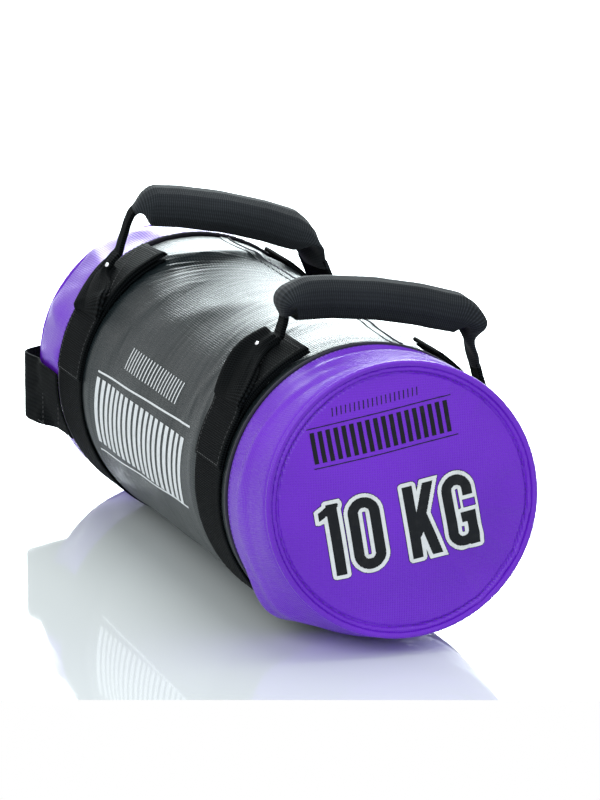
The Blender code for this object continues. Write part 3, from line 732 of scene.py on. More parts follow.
class Recipe:
    """The nodes of one material."""

    def __init__(self, name: str, **constants: object) -> None:
        """Starts a material, with values that are the same all over its surface."""
        self.material = bpy.data.materials.new(name)
        self.material.use_nodes = True
        self.tree = self.material.node_tree
        self.shader = self.tree.nodes["Principled BSDF"]
        for socket, constant in constants.items():
            self.shader.inputs[socket.replace("_", " ")].default_value = constant

    def node(
        self, kind: str, settings: dict | None = None, inputs: dict | None = None
    ) -> bpy.types.Node:
        """Adds a node.

        Args:
            kind: The node's type.
            settings: Its properties, which are set first.
            inputs: Values or links by socket name or number.

        Returns:
            The node.
        """
        made = self.tree.nodes.new(kind)
        for key, setting in (settings or {}).items():
            setattr(made, key, setting)
        for key, given in (inputs or {}).items():
            self.give(made.inputs[key], given)
        return made

    def give(self, socket: bpy.types.NodeSocket, given: object) -> None:
        """Links a value to a socket, or sets it."""
        if isinstance(given, Value):
            self.tree.links.new(given.socket, socket)
        else:
            socket.default_value = given

    def value(
        self,
        kind: str,
        settings: dict | None = None,
        inputs: dict | None = None,
        output: int | str = 0,
    ) -> Value:
        """Adds a node and wraps one of its outputs."""
        return Value(self, self.node(kind, settings, inputs).outputs[output])

    def coordinates(self, kind: str) -> Value:
        """The texture coordinates of a kind."""
        return self.value("ShaderNodeTexCoord", output=kind)

    def parts(self, vector: Value) -> tuple[Value, Value, Value]:
        """The three numbers of a vector."""
        split = self.node("ShaderNodeSeparateXYZ", inputs={"Vector": vector})
        return tuple(Value(self, socket) for socket in split.outputs)

    def noise(self, scale: float, detail: float = 3.0, vector: Value | None = None) -> Value:
        """A noise pattern on the object's own coordinates."""
        inputs = {"Scale": scale, "Detail": detail, "Vector": vector or self.coordinates("Object")}
        return self.value("ShaderNodeTexNoise", None, inputs, "Fac")

    def mix(self, share: Value | float, first: object, second: object) -> Value:
        """A colour between two."""
        settings = {"data_type": "RGBA"}
        return self.value("ShaderNodeMix", settings, {0: share, 6: first, 7: second}, 2)

    def dress(self, share: Value, first: object, second: object, roughness: Value) -> None:
        """Sets the colour between two, each with three numbers, and the roughness."""
        self.give(self.shader.inputs["Base Color"], self.mix(share, rgba(*first), rgba(*second)))
        self.give(self.shader.inputs["Roughness"], roughness)

    def bump(self, height: Value, distance: float, strength: float) -> None:
        """Raises the surface by a height pattern, over what is raised already."""
        inputs = {"Height": height, "Distance": distance, "Strength": strength}
        normal = self.shader.inputs["Normal"]
        if normal.is_linked:
            inputs["Normal"] = Value(self, normal.links[0].from_socket)
        self.give(normal, self.value("ShaderNodeBump", None, inputs, "Normal"))


def rgba(red: float, green: float, blue: float) -> tuple[float, float, float, float]:
    """A full colour."""
    return red, green, blue, 1.0


@dataclass(frozen=True)
class CoatedVinyl:
    """Tarpaulin-like vinyl: a plastic coat over a fine cloth that shows through as a grid."""

    name: str
    colour: Triple
    shade: Triple
    thread: float = 0.0021
    grain: float = 0.00012
    gloss: float = 1.27
    tint: Triple = (0.80, 0.96, 1.0)
    drape: float = 0.30

    def make(self) -> bpy.types.Material:
        """Makes the material."""
        tint = rgba(*self.tint)
        paper = Recipe(self.name, IOR=self.gloss, Coat_Roughness=0.20, Specular_Tint=tint)
        across, along, _ = paper.parts(paper.coordinates("UV"))
        wave = 2.0 * math.pi / self.thread
        weave = ((across + along) * (wave / 1.6)).sine() * ((across - along) * (wave / 1.6)).sine()
        cloud = paper.noise(9.0, 2.0)
        fine = paper.noise(260.0, 2.0)
        stretch = {"X": across * 10.0 + along * 16.0, "Y": along * 105.0}
        drawn = paper.noise(1.0, 2.0, paper.value("ShaderNodeCombineXYZ", None, stretch))
        tone = paper.mix(cloud.between(0.3, 0.75), rgba(*self.colour), rgba(*self.shade))
        paper.give(
            paper.shader.inputs["Base Color"],
            paper.mix(weave.between(-0.9, 0.9) * 0.5, tone, rgba(*self.shade)),
        )
        paper.give(paper.shader.inputs["Roughness"], 0.25 + cloud * 0.12 + weave * 0.05)
        paper.give(paper.shader.inputs["Coat Weight"], fine * 0.08)
        paper.bump(drawn, 0.0022, self.drape)
        paper.bump(weave, self.grain, 0.8)
        return paper.material


@dataclass(frozen=True)
class WovenStrap:
    """Polypropylene webbing: ribs across its width, broken by lengthwise strands."""

    name: str = "woven_strap"
    rib: float = 0.0017
    strand: float = 0.0034
    dark: Triple = (0.0006, 0.0009, 0.0011)
    light: Triple = (0.0085, 0.0115, 0.0130)

    def make(self) -> bpy.types.Material:
        """Makes the material."""
        paper = Recipe(self.name, Specular_IOR_Level=0.06)
        across, along, _ = paper.parts(paper.coordinates("UV"))
        sway = (across * (2.0 * math.pi / self.strand)).sine()
        ribs = (along * (2.0 * math.pi / self.rib) + sway * 1.1).sine()
        strands = (across * (math.pi / self.strand)).sine().size()
        weave = ribs * 0.5 + 0.5
        wear = paper.noise(34.0, 4.0)
        light = weave.power(1.6) * (0.45 + strands * 0.55) * (0.5 + wear)
        paper.dress(light.between(0.0, 1.15), self.dark, self.light, 0.86 - light * 0.22)
        paper.bump(wear, 0.0010, 0.5)
        paper.bump(weave * (0.55 + strands * 0.45), 0.00030, 0.8)
        return paper.material


@dataclass(frozen=True)
class RibbedCloth:
    """The grips' ribbed cloth, with ribs round the grip and a little fuzz."""

    name: str = "ribbed_cloth"
    rib: float = 0.0014
    stitch: float = 0.0024
    dark: Triple = (0.0085, 0.0105, 0.0130)
    light: Triple = (0.0370, 0.0440, 0.0520)

    def make(self) -> bpy.types.Material:
        """Makes the material."""
        paper = Recipe(self.name, Sheen_Weight=0.12, Sheen_Roughness=0.35, Specular_IOR_Level=0.22)
        around, along, _ = paper.parts(paper.coordinates("UV"))
        fuzz = paper.noise(900.0, 2.0)
        wear = paper.noise(30.0, 3.0)
        jitter = paper.noise(120.0, 2.0)
        ribs = (along * (2.0 * math.pi / self.rib) + jitter * 1.2).sine() * 0.5 + 0.5
        knit = (around * (2.0 * math.pi / self.stitch) + ribs * 2.0).sine() * 0.5 + 0.5
        light = ribs * (0.6 + knit * 0.4) * (0.45 + wear * 0.9)
        paper.dress(light.between(0.0, 1.1), self.dark, self.light, 0.80 + fuzz * 0.15)
        paper.bump(wear, 0.0012, 0.5)
        paper.bump(ribs * (0.7 + knit * 0.3) + fuzz * 0.25, 0.00028, 0.85)
        return paper.material


@dataclass(frozen=True)
class TwistedThread:
    """Sewing thread or seam cord: a dull strand with a fine twist."""

    name: str
    colour: Triple
    roughness: float = 0.7
    twists: float = 5200.0

    def make(self) -> bpy.types.Material:
        """Makes the material."""
        paper = Recipe(self.name, Sheen_Weight=0.2)
        x, y, z = paper.parts(paper.coordinates("Object"))
        twist = ((x + y + z) * self.twists).sine() * 0.5 + 0.5
        wear = paper.noise(80.0, 2.0)
        pale = tuple(min(1.0, channel * 2.2 + 0.004) for channel in self.colour)
        paper.dress(twist * wear, self.colour, pale, self.roughness + wear * 0.15)
        paper.bump(twist, 0.0001, 0.6)
        return paper.material


@dataclass(frozen=True)
class PrintedInk:
    """Screen-printed ink on the vinyl, which lets the weave through."""

    name: str
    colour: Triple
    shine: float = 0.5
    grid: float = 1850.0

    def make(self) -> bpy.types.Material:
        """Makes the material."""
        paper = Recipe(self.name, Specular_IOR_Level=self.shine)
        x, y, z = paper.parts(paper.coordinates("Object"))
        weave = ((y + z) * self.grid).sine() * ((x + y - z) * self.grid).sine()
        worn = paper.noise(160.0, 4.0)
        thin = tuple(channel * 0.82 + 0.01 for channel in self.colour)
        paper.dress(worn.between(0.45, 0.8), self.colour, thin, 0.42 + worn * 0.16)
        paper.bump(weave, 0.00008, 0.6)
        return paper.material


@dataclass(frozen=True)
class PlatedSteel:
    """Bright nickel-plated steel with faint polishing marks."""

    name: str = "plated_steel"

    def make(self) -> bpy.types.Material:
        """Makes the material."""
        paper = Recipe(self.name, Metallic=1.0)
        marks = paper.noise(420.0, 4.0)
        paper.dress(marks, (0.90, 0.91, 0.93), (0.72, 0.74, 0.78), 0.14 + marks * 0.16)
        paper.bump(marks, 0.00004, 0.4)
        return paper.material


@dataclass(frozen=True)
class Filling:
    """A hidden filling: foam, fibre, liner film or sand."""

    name: str
    colour: Triple
    cell: float
    depth: float
    roughness: float = 0.85

    def make(self) -> bpy.types.Material:
        """Makes the material."""
        paper = Recipe(self.name)
        cells = paper.value(
            "ShaderNodeTexVoronoi",
            {"feature": "F1"},
            {"Scale": 1.0 / self.cell, "Vector": paper.coordinates("Object")},
            "Distance",
        )
        dark = tuple(channel * 0.6 for channel in self.colour)
        paper.dress(cells.between(0.1, 0.9), dark, self.colour, self.roughness + cells * 0.1)
        paper.bump(cells, self.depth, 0.7)
        return paper.material


def made_by(maker: object) -> bpy.types.Material:
    """A field whose material is made by the maker when the finishes are."""
    return field(default_factory=maker.make)


@dataclass(frozen=True)
class Finishes:
    """The bag's materials, each made once."""

    black: bpy.types.Material = made_by(
        CoatedVinyl("black_coated_vinyl", (0.014, 0.021, 0.024), (0.005, 0.008, 0.009))
    )
    purple: bpy.types.Material = made_by(
        CoatedVinyl(
            "purple_coated_vinyl",
            (0.188, 0.020, 0.690),
            (0.135, 0.013, 0.540),
            grain=0.00014,
            gloss=1.41,
            tint=(1.0, 1.0, 1.0),
            drape=0.14,
        )
    )
    strap: bpy.types.Material = made_by(WovenStrap())
    cloth: bpy.types.Material = made_by(RibbedCloth())
    cord: bpy.types.Material = made_by(TwistedThread("seam_cord", (0.010, 0.009, 0.020)))
    black_thread: bpy.types.Material = made_by(TwistedThread("black_thread", (0.020, 0.020, 0.022)))
    purple_thread: bpy.types.Material = made_by(
        TwistedThread("purple_thread", (0.060, 0.016, 0.22))
    )
    white_ink: bpy.types.Material = made_by(PrintedInk("white_ink", (0.82, 0.83, 0.85)))
    black_ink: bpy.types.Material = made_by(PrintedInk("black_ink", (0.008, 0.010, 0.013), 0.15))
    steel: bpy.types.Material = made_by(PlatedSteel())

    def dress_hidden(self) -> None:
        """Gives the CAD solids that stay inside the bag their fillings."""
        foam = Filling("grey_foam", (0.32, 0.32, 0.33), 0.0016, 0.0003).make()
        fibre = Filling("fibre_padding", (0.74, 0.73, 0.69), 0.0040, 0.0008).make()
        film = Filling("liner_film", (0.58, 0.61, 0.59), 0.0030, 0.0002, 0.45).make()
        sand = Filling("dry_sand", (0.50, 0.39, 0.24), 0.0007, 0.0002).make()
        for name, fill in (
            ("near_end_foam", foam),
            ("far_end_foam", foam),
            ("padding_sleeve", fibre),
            ("inner_liner", film),
            ("sand_fill", sand),
        ):
            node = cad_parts[name]
            node.data.materials.clear()
            node.data.materials.append(fill)


@dataclass
class BagSkin:
    """The vinyl tube, its two end bands and panels, and the cords and stitches in their seams."""

    finishes: Finishes
    columns: int = 264
    wall: float = 0.0010
    panel_rings: int = 44
    panel_columns: int = 240
    panel_radius: float = 0.0918
    seam_rows: int = 480
    seam_sides: int = 12
    seam_step: float = 0.00131
    from_seam: float = 0.0060
    panel_creases: tuple[Crease, ...] = (
        Crease(0.072, 116.0, 8.0, 0.024, 0.0052, 0.0020),
        Crease(0.068, 129.0, -4.0, 0.028, 0.0045, -0.0016),
        Crease(0.074, 143.0, 6.0, 0.022, 0.0055, 0.0021),
        Crease(0.078, 97.0, 0.0, 0.018, 0.0060, 0.0014),
        Crease(0.080, 82.0, 0.0, 0.014, 0.0070, -0.0012),
        Crease(0.084, 24.0, 0.0, 0.009, 0.0030, 0.0010),
        Crease(0.084, 33.0, 0.0, 0.009, 0.0026, -0.0008),
        Crease(0.083, 41.0, 0.0, 0.010, 0.0030, 0.0009),
        Crease(0.084, -38.0, 0.0, 0.008, 0.0040, 0.0007),
        Crease(0.080, -150.0, 0.0, 0.016, 0.0060, 0.0006),
    )

    def build(self) -> None:
        """Builds and dresses every piece."""
        inset = BAG.welt + BAG.gap
        tube = self._hoop("bag_tube", BAG.far_ring + inset, BAG.near_ring - inset, 184)
        Workshop.finish(tube, self.finishes.black, Slot.BLACK_VINYL, ("body_cover",))
        near_edge = BAG.near_seam - BAG.piping - BAG.gap
        near = self._hoop("near_band_cover", BAG.near_ring + inset, near_edge, 52)
        Workshop.finish(near, self.finishes.purple, Slot.PURPLE_VINYL, ("near_end_band",))
        far_edge = BAG.far_seam + BAG.piping + BAG.gap
        far = self._hoop("far_band_cover", far_edge, BAG.far_ring - inset, 52)
        Workshop.finish(far, self.finishes.purple, Slot.PURPLE_VINYL, ("far_end_band",))
        self._panels()
        self._cords()
        self._stitches()
        self._lap()

    def _hoop(self, name: str, low: float, high: float, rows: int) -> bpy.types.Object:
        """A sleeve of vinyl with a wall, its edges rolled into the seams.

        Args:
            name: The piece's name.
            low: Its lower end along the bag.
            high: Its higher end.
            rows: Faces along it.

        Returns:
            The piece.
        """
        x = np.linspace(low, high, rows + 1)
        from_edge = np.minimum(x - low, high - x)
        roll = -0.0010 * hump(from_edge, 0.0022)
        inner = np.linspace(high, low, 5)
        xs = np.concatenate((x, inner))
        lifts = np.concatenate((roll, np.full(len(inner), -self.wall - 0.0010)))
        count = len(xs)

        def place(column: Array, row: Array) -> tuple[Array, Array]:
            at = row % count
            points = SKIN.point(xs[at], 360.0 * column / self.columns, lifts[at])
            girth = column / self.columns * 2.0 * math.pi * BAG.radius
            return points, np.stack((girth, xs[at]), axis=-1)

        return Workshop.grid(name, self.columns, count, place)

    def panel_point(self, side: int, share: Array, degrees: Array, lift: float = 0.0) -> Array:
        """Points of an end panel.

        Args:
            side: 1 for the near panel and -1 for the far one.
            share: How far out the points lie, from the middle to the seam.
            degrees: Their angles.
            lift: Height off the panel.

        Returns:
            An array of points.
        """
        seam = BAG.near_seam if side > 0 else BAG.far_seam
        edge = SKIN.point(seam, degrees, -0.0020)
        heart = np.array((seam, 0.0, BAG.axis_z))
        if side > 0:
            heart[1:] += BAG.near_right, BAG.near_rise
        points = heart + (edge - heart) * share[:, None]
        uneven = 0.10 * ease(share * 2.2) * np.cos(np.radians(2 * degrees + 70))
        dome = BAG.crown * (1.0 - share**2) * (1.0 + uneven)
        inside = (1.0 - share) * BAG.radius
        rim = 0.0012 * hump(inside - 0.0022, 0.0020) - 0.0014 * hump(inside - 0.0048, 0.0011)
        wave = sum(c.at(share * self.panel_radius, degrees) for c in self.panel_creases)
        pucker = 0.00022 * np.sin(np.radians(degrees) * 62) * hump(share - 0.955, 0.035)
        soft = 0.0005 * Ripples(53, 6, (0.03, 0.08), (2, 6)).at(share * 0.09, degrees) * share
        points[:, 0] += side * (dome + rim + (wave + soft + pucker) * ease(share * 3.0) + lift)
        return points

    def _panels(self) -> None:
        """The two round end panels."""
        for name, side, node in (
            ("near_panel_cover", 1, "near_end_panel"),
            ("far_panel_cover", -1, "far_end_panel"),
        ):
            shares = np.concatenate(
                (np.linspace(0.0, 0.925, self.panel_rings), np.linspace(0.933, 1.0, 15))
            )
            back = np.linspace(1.0, 0.0, 6)[:-1]
            rings = np.concatenate((shares, back, [0.0]))
            depth = np.concatenate((np.zeros(len(shares)), np.full(len(back) + 1, -0.0012)))

            def place(column: Array, row: Array) -> tuple[Array, Array]:
                degrees = 360.0 * column / self.panel_columns
                points = self.panel_point(side, rings[row], degrees)
                points[:, 0] += side * depth[row]
                points[row == 0, 1:] = self.panel_point(side, np.zeros(1), np.zeros(1))[0, 1:]
                return points, points[:, 1:] * (side, 1.0)

            made = Workshop.grid(name, self.panel_columns, len(rings) - 1, place)
            Workshop.finish(made, self.finishes.purple, Slot.PURPLE_VINYL, (node,))

    def _seam(
        self, name: str, x: float, radius: float, lift: float, pucker: float
    ) -> bpy.types.Object:
        """A cord sewn into a seam round the bag.

        Args:
            name: The piece's name.
            x: Its place along the bag.
            radius: Its radius.
            lift: Height of its middle off the skin.
            pucker: How much the stitches pull it about.

        Returns:
            The piece.
        """
        turns = np.arange(self.seam_rows) * 360.0 / self.seam_rows
        centre = SKIN.point(x, turns, lift)
        ahead = unit(np.roll(centre, -1, axis=0) - np.roll(centre, 1, axis=0))
        beside = squared(np.tile((1.0, 0.0, 0.0), (self.seam_rows, 1)), ahead)
        out = np.cross(beside, ahead)
        pull = 1.0 + pucker * np.sin(np.radians(turns) * 96)

        def place(column: Array, row: Array) -> tuple[Array, Array]:
            at = row % self.seam_rows
            turn = 2.0 * math.pi * column / self.seam_sides
            reach = (radius * pull[at])[:, None]
            points = centre[at] + reach * (
                beside[at] * np.cos(turn)[:, None] + out[at] * np.sin(turn)[:, None]
            )
            return points, np.stack((turn * radius, row * self.seam_step), axis=-1)

        return Workshop.grid(name, self.seam_sides, self.seam_rows, place)

    def _cords(self) -> None:
        """The black cords in the ring seams and the purple piping round the panels."""
        for name, x, radius, lift, node in (
            ("near_ring_cord", BAG.near_ring, 0.0013, -0.0002, "near_ring_welt"),
            ("far_ring_cord", BAG.far_ring, 0.0019, 0.0004, "far_ring_welt"),
        ):
            made = self._seam(name, x, radius, lift, 0.05)
            Workshop.finish(made, self.finishes.cord, Slot.CORD, (node,))
        for name, x, radius, lift, node in (
            ("near_panel_rim", BAG.near_seam, 0.0023, -0.0004, "near_panel_piping"),
            ("far_panel_rim", BAG.far_seam, 0.0018, -0.0012, "far_panel_piping"),
        ):
            made = self._seam(name, x, radius, lift, 0.015)
            Workshop.finish(made, self.finishes.purple, Slot.PURPLE_VINYL, (node,))

    def _stitches(self) -> None:
        """The stitch rows beside the seams."""
        turns = np.linspace(0.0, 360.0, 241)
        rows = {}
        for name, x in (
            ("near_band_stitches", BAG.near_ring + self.from_seam),
            ("far_band_stitches", BAG.far_ring - self.from_seam),
        ):
            rows[name] = SKIN.point(x, turns), outward(turns)
        for name, side in (("near_panel_stitches", 1), ("far_panel_stitches", -1)):
            path = self.panel_point(side, np.full_like(turns, 0.952), turns)
            rows[name] = path, np.tile((float(side), 0.0, 0.0), (len(turns), 1))
        for name, row in rows.items():
            Thread().make(name, [row], self.finishes.purple_thread, Slot.PURPLE_VINYL)

    def _lap(self) -> None:
        """The lengthwise lap of the black vinyl with the cord along its edge."""
        x = np.linspace(BAG.far_ring + 0.0016, BAG.near_ring - 0.0016, 150)
        degrees = 15.0 + 0.6 * np.sin(x * 55.0)
        centre = SKIN.point(x, degrees, 0.0001)
        out = outward(degrees)
        wide = unit(np.cross(headings(centre), out))
        lap = Webbing(centre, wide, out, 0.0035, 0.0007, cloth=0.007, columns=6)
        strip = lap.build("lap_strip")
        Workshop.finish(strip, self.finishes.black, Slot.BLACK_VINYL, ("body_lap_seam",))
        cord = Workshop.tube("lap_edge_cord", centre - wide * 0.0036 + out * 0.0004, 0.0008)
        Workshop.finish(cord, self.finishes.cord, Slot.CORD)
        rows = [(centre + wide * 0.0016 + out * 0.0003, out)]
        thread = Thread(0.0038, 0.0028, 0.00026)
        thread.make("lap_stitches", rows, self.finishes.black_thread, Slot.BLACK_VINYL)


@dataclass(frozen=True)
class FoldedEnd:
    """One end of a top handle: its tab, its sewn end and the flap that is folded over it.

    sewn is the angle of the lap's end, fold where the folding starts, tip where the flap ends and
    foot where the leg leaves the bag. curl is how far the flap's far edge stands up, climb is
    greater where the flap rises later, over is how high its tip lies over the foot, rivet is
    the rivet's angle and place across the strap, and tab_tilt how far the tab's near edge stands
    up.
    """

    side: Side
    tab_top: float
    sewn: float
    fold: float
    tip: float
    foot: Triple
    shift: float
    curl: float
    climb: float
    over: float
    rivet: Pair
    tab_tilt: float = 0.0

    @property
    def tab_foot(self) -> float:
        """The angle of the tab's lower end."""
        return self.tab_top + 34.0

    def over_tab(self, degrees: Array | float) -> Array | float:
        """Eases from 0 below the tab to 1 over it."""
        return ease((self.tab_foot + 5.0 - degrees) / 7.0)

    def turned(self, degrees: Array | float) -> Array | float:
        """An angle on this side of the bag."""
        return self.side.value * degrees

    def foot_angle(self) -> float:
        """The foot's angle from the top."""
        return math.degrees(math.atan2(abs(self.foot[1]), self.foot[2] - BAG.axis_z))

    def foot_radius(self) -> float:
        """The foot's distance from the bag's axis."""
        return math.hypot(self.foot[1], self.foot[2] - BAG.axis_z)


@dataclass(frozen=True)
class HandlePlan:
    """A top handle's places.

    strap is the middle of its girth strap. clearance is the gap between the bag and the grip's
    underside, arch how much lower the grip's ends are, half_height and half_length half its size,
    tilt its angle from the top, shift how far it is moved along, lean how far it is swung about
    its hinge, and corner the radius of the webbing's bends. hinge holds the ends of the CAD
    hinge. knee is a bend of the left leg. cloth is where the sleeve starts, measured from the
    left foot, and its length. blunt is how far inside the sleeve's ends the foam bar begins.
    waist and slim are the half widths of the left and the right leg, twist is how far the right
    leg is turned about its length, elbow how far the sleeve stands out past the bar's right end,
    shoulder and slope the lengths over which the bar's top fills out at the left and the right,
    heel the length over which its underside does at the left, and deep how much thicker than the
    leg the bar is below its middle.
    """

    name: str
    strap: float
    left: FoldedEnd
    right: FoldedEnd
    hinge: tuple[Triple, Triple]
    knee: Triple | None
    cloth: Pair
    clearance: float
    tilt: float
    shift: float
    lean: float
    blunt: Pair
    waist: float
    slim: float
    twist: float
    elbow: float
    shoulder: float
    slope: float
    heel: float
    deep: float = 0.0116
    half_length: float = 0.063
    arch: float = 0.006
    half_height: float = 0.0142
    corner: float = 0.014

    def axis(self) -> Vector:
        """The hinge's direction."""
        return (Vector(self.hinge[1]) - Vector(self.hinge[0])).normalized()

    def path(self) -> Array:
        """The webbing's path from the left foot to the right."""
        slope = math.radians(self.tilt)
        away = Vector((0.0, math.sin(slope), math.cos(slope)))
        along = Vector((0.0, math.cos(slope), -math.sin(slope)))
        left, right = Vector(self.hinge[0]), Vector(self.hinge[1])
        lean = Quaternion(self.axis(), math.radians(self.lean))
        corners = [Vector(self.left.foot)]
        if self.knee is not None:
            corners.append(Vector(self.knee))
        for share in (-1.0, -0.5, 0.0, 0.5, 1.0):
            height = BAG.radius + self.clearance + self.half_height - self.arch * share**2
            spot = away * height + along * (self.shift + self.half_length * share)
            spot.x = left.x + (right.x - left.x) * (spot.y - left.y) / (right.y - left.y)
            spot.z += BAG.axis_z
            corners.append(left + lean @ (spot - left))
        corners.append(Vector(self.right.foot))
        line = [corners[0]]
        for before, corner, after in zip(corners, corners[1:], corners[2:]):
            back, ahead = before - corner, after - corner
            trim = self.corner * math.tan((math.pi - back.angle(ahead)) / 2)
            trim = min(trim, 0.45 * min(back.length, ahead.length))
            first = corner + back.normalized() * trim
            last = corner + ahead.normalized() * trim
            for i in range(6):
                t = i / 5
                line.append(first.lerp(corner, t).lerp(corner.lerp(last, t), t))
        line.append(corners[-1])
        points = np.array([tuple(p) for p in line])
        reach = distances(points)
        fine = np.linspace(0.0, reach[-1], 401)
        return points_at(fine, reach, points)

    def wide(self) -> Array:
        """The direction of the free webbing's width."""
        axis = self.axis()
        wide = (Vector((1.0, 0.0, 0.0)) - axis * axis.x).normalized()
        wide.rotate(Quaternion(axis, math.radians(self.lean)))
        return np.array(wide)

    def turned_width(self, ahead: Array, above_end: Array) -> Array:
        """The width's direction along the right leg, which is twisted below the foam bar.

        Args:
            ahead: The path's directions.
            above_end: How far above the foam bar's right end each station lies.

        Returns:
            Directions at right angles to the path.
        """
        wide = squared(np.tile(self.wide(), (len(ahead), 1)), ahead)
        turn = math.radians(self.twist) * ease((0.014 - above_end) / 0.020)[:, None]
        return wide * np.cos(turn) + np.cross(ahead, wide) * np.sin(turn)


@dataclass
class TopHandle:
    """A top handle: tabs, folded ends with rivets, webbing legs and the padded grip.

    tab_edge and anchor_edge are how far the stitches lie from the strap's middle, single and
    folded the webbing's thickness flat and folded, grip_half is half the grip's width, leg_half
    half the sleeve's thickness where it holds only webbing, fill how much the foam adds above
    that, and girth the cloth's length round the grip.
    """

    finishes: Finishes
    plan: HandlePlan
    tab_edge: float = 0.0200
    anchor_edge: float = 0.0212
    single: float = 0.0017
    folded: float = 0.0033
    grip_half: float = 0.0182
    leg_half: float = 0.0026
    fill: float = 0.0116
    girth: float = 0.102
    grip_rows: int = 170
    grip_columns: int = 72

    def build(self) -> None:
        """Builds and dresses every piece of the handle."""
        path = self.plan.path()
        for end in (self.plan.left, self.plan.right):
            label = f"{self.plan.name}_{end.side.name.lower()}"
            self._tab(label, end)
            sewn = self._sewn_end(label, end, path)
            flap = self._flap(label, end)
            self._rivet(label, end, (Surface(sewn), Surface(flap)))
        self._grip(path)

    def _tab(self, label: str, end: FoldedEnd) -> None:
        """The girth strap's end, folded back on itself."""
        top = end.tab_top + 0.5
        foot = end.tab_foot
        low_lift, high_lift = 0.0022, 0.0039
        radius = (high_lift - low_lift) / 2
        turn = np.linspace(0.0, math.pi, 9)[1:-1]
        curl = top - np.degrees(np.sin(turn) * radius / BAG.radius)
        lower, upper = np.linspace(foot, top, 26), np.linspace(top, foot + 2.0, 30)
        degrees = np.concatenate((lower, curl, upper))
        rise = low_lift + radius * (1.0 - np.cos(turn))
        lift = np.concatenate((np.full(len(lower), low_lift), rise, np.full(len(upper), high_lift)))
        lift = lift + 0.0004 * hump(degrees - top, 5.0)
        centre, wide, _ = round_bag(self.plan.strap, end.turned(degrees), lift)
        out = unit(np.cross(wide, headings(centre))) * end.side.value
        half = np.full(len(lift), BAG.webbing / 2)
        half[len(lower) :] -= 0.0006
        end_lift = end.tab_tilt * ease((foot - degrees) / 20.0)

        def fold(across: Array, row: Array) -> Array:
            return end_lift[row] * across * np.sign(out[row, 2])

        tab = Webbing(centre, wide, out, half, BAG.webbing_thick, fold)
        made = tab.build(f"{label}_tab_fold")
        Workshop.finish(made, self.finishes.strap, Slot.WEBBING, (f"{label}_tab",))
        high, low, edge = top + 1.8, foot - 6.0, self.tab_edge
        a, b, c, d = (high, -edge), (high, edge), (low, edge), (low, -edge)
        self._sew(f"{label}_tab_stitches", made, end, (a, b, c, d, a, c, b))

    def _sew(
        self, name: str, cloth: bpy.types.Object, end: FoldedEnd, corners: Sequence[Pair]
    ) -> None:
        """Sews a line of stitches onto a piece.

        Args:
            name: The stitches' name.
            cloth: The piece that they are sewn on.
            end: The end that they belong to.
            corners: The line's corners, as an angle and a place across the strap.
        """
        rows = []
        surface = Surface(cloth)
        for first, last in zip(corners, corners[1:]):
            spots, outs = [], []
            for t in np.linspace(0.0, 1.0, 14):
                angle = first[0] + (last[0] - first[0]) * t
                start, inward = self._ray(end, angle, first[1] + (last[1] - first[1]) * t)
                place, normal = surface.meet(start, inward)
                if place is not None:
                    spots.append(place)
                    outs.append(normal)
            if len(spots) > 1:
                rows.append((np.array(spots), np.array(outs)))
        Thread().make(name, rows, self.finishes.black_thread, Slot.WEBBING)

    def _ray(self, end: FoldedEnd, angle: float, across: float) -> tuple[Vector, Vector]:
        """A point well over the strap, by its angle and place across, and the way straight in."""
        away = Vector(outward(end.turned(angle)))
        middle = Vector((self.plan.strap + across, 0.0, BAG.axis_z))
        return middle + away * (BAG.radius + 0.04), -away

    def _over_bag(self, x: float, angle: float, radius: float, end: FoldedEnd) -> tuple[float, ...]:
        """A point at an angle and distance from the bag's axis."""
        turn = math.radians(end.turned(angle))
        return x, radius * math.sin(turn), BAG.axis_z + radius * math.cos(turn)

    def _sewn_end(self, label: str, end: FoldedEnd, path: Array) -> bpy.types.Object:
        """The sewn end and the leg up to the grip, as one length of webbing."""
        leg = path if end.side is Side.LEFT else path[::-1]
        reach = distances(leg)
        left = end.side is Side.LEFT
        free = self.plan.cloth[0] if left else reach[-1] - sum(self.plan.cloth)
        foot_angle, foot_radius = end.foot_angle(), end.foot_radius()
        waist = self.plan.waist if left else self.plan.slim - 0.0016
        rows: list[tuple[float, ...]] = []
        for angle in np.linspace(end.sewn, foot_angle + 2.0, 26):
            share = float(np.clip((end.fold - angle) / (end.fold - foot_angle), 0.0, 1.0))
            narrow = float(ease(share))
            lift = BAG.radius + 0.0030 + 0.0030 * float(end.over_tab(angle))
            radius = lift + (foot_radius - lift) * narrow**4
            swell = math.sin(math.pi * min(1.0, share * 1.02)) ** 1.5
            drawn = float(ease(share * 1.45))
            half = BAG.webbing / 2 * (1.0 - drawn) + waist * drawn
            spot = self._over_bag(self.plan.strap - end.shift * drawn, angle, radius, end)
            thick = self.single + (self.folded - self.single) * narrow
            rows.append((*spot, half, thick, 0.0008 * swell, 0.0006 * swell))
        for at in (0.0, 0.25, 0.5, 0.75, 1.0, 1.4):
            spot = points_at(at * max(free, 0.008), reach, leg)
            rows.append((*spot, waist, self.folded, 0.0003, 0.0))
        table = smooth_through(rows, 110)
        centre = table[:, :3]
        halves, thicks, domes, waves = table[:, 3:].T
        towards = np.linalg.norm(centre - np.array(end.foot), axis=1)
        on_leg = np.arange(len(table)) > np.argmin(towards)
        share = ease(np.where(on_leg, 0.5 + towards / 0.020, 0.5 - towards / 0.020))[:, None]
        ahead = headings(centre)
        free_width = self.plan.wide()
        if not left:
            free_width = self.plan.turned_width(-ahead, np.full(len(ahead), -0.1))
        wide = unit(np.array((1.0, 0.0, 0.0)) * (1.0 - share) + free_width * share)
        wide = squared(wide, ahead)
        out = unit(np.cross(ahead, wide)) * end.side.value

        def fold(across: Array, row: Array) -> Array:
            dome = domes[row] * np.sqrt(np.maximum(0.0, 1.0 - across**2))
            return dome + waves[row] * np.sin(across * 5.2 + 0.7)

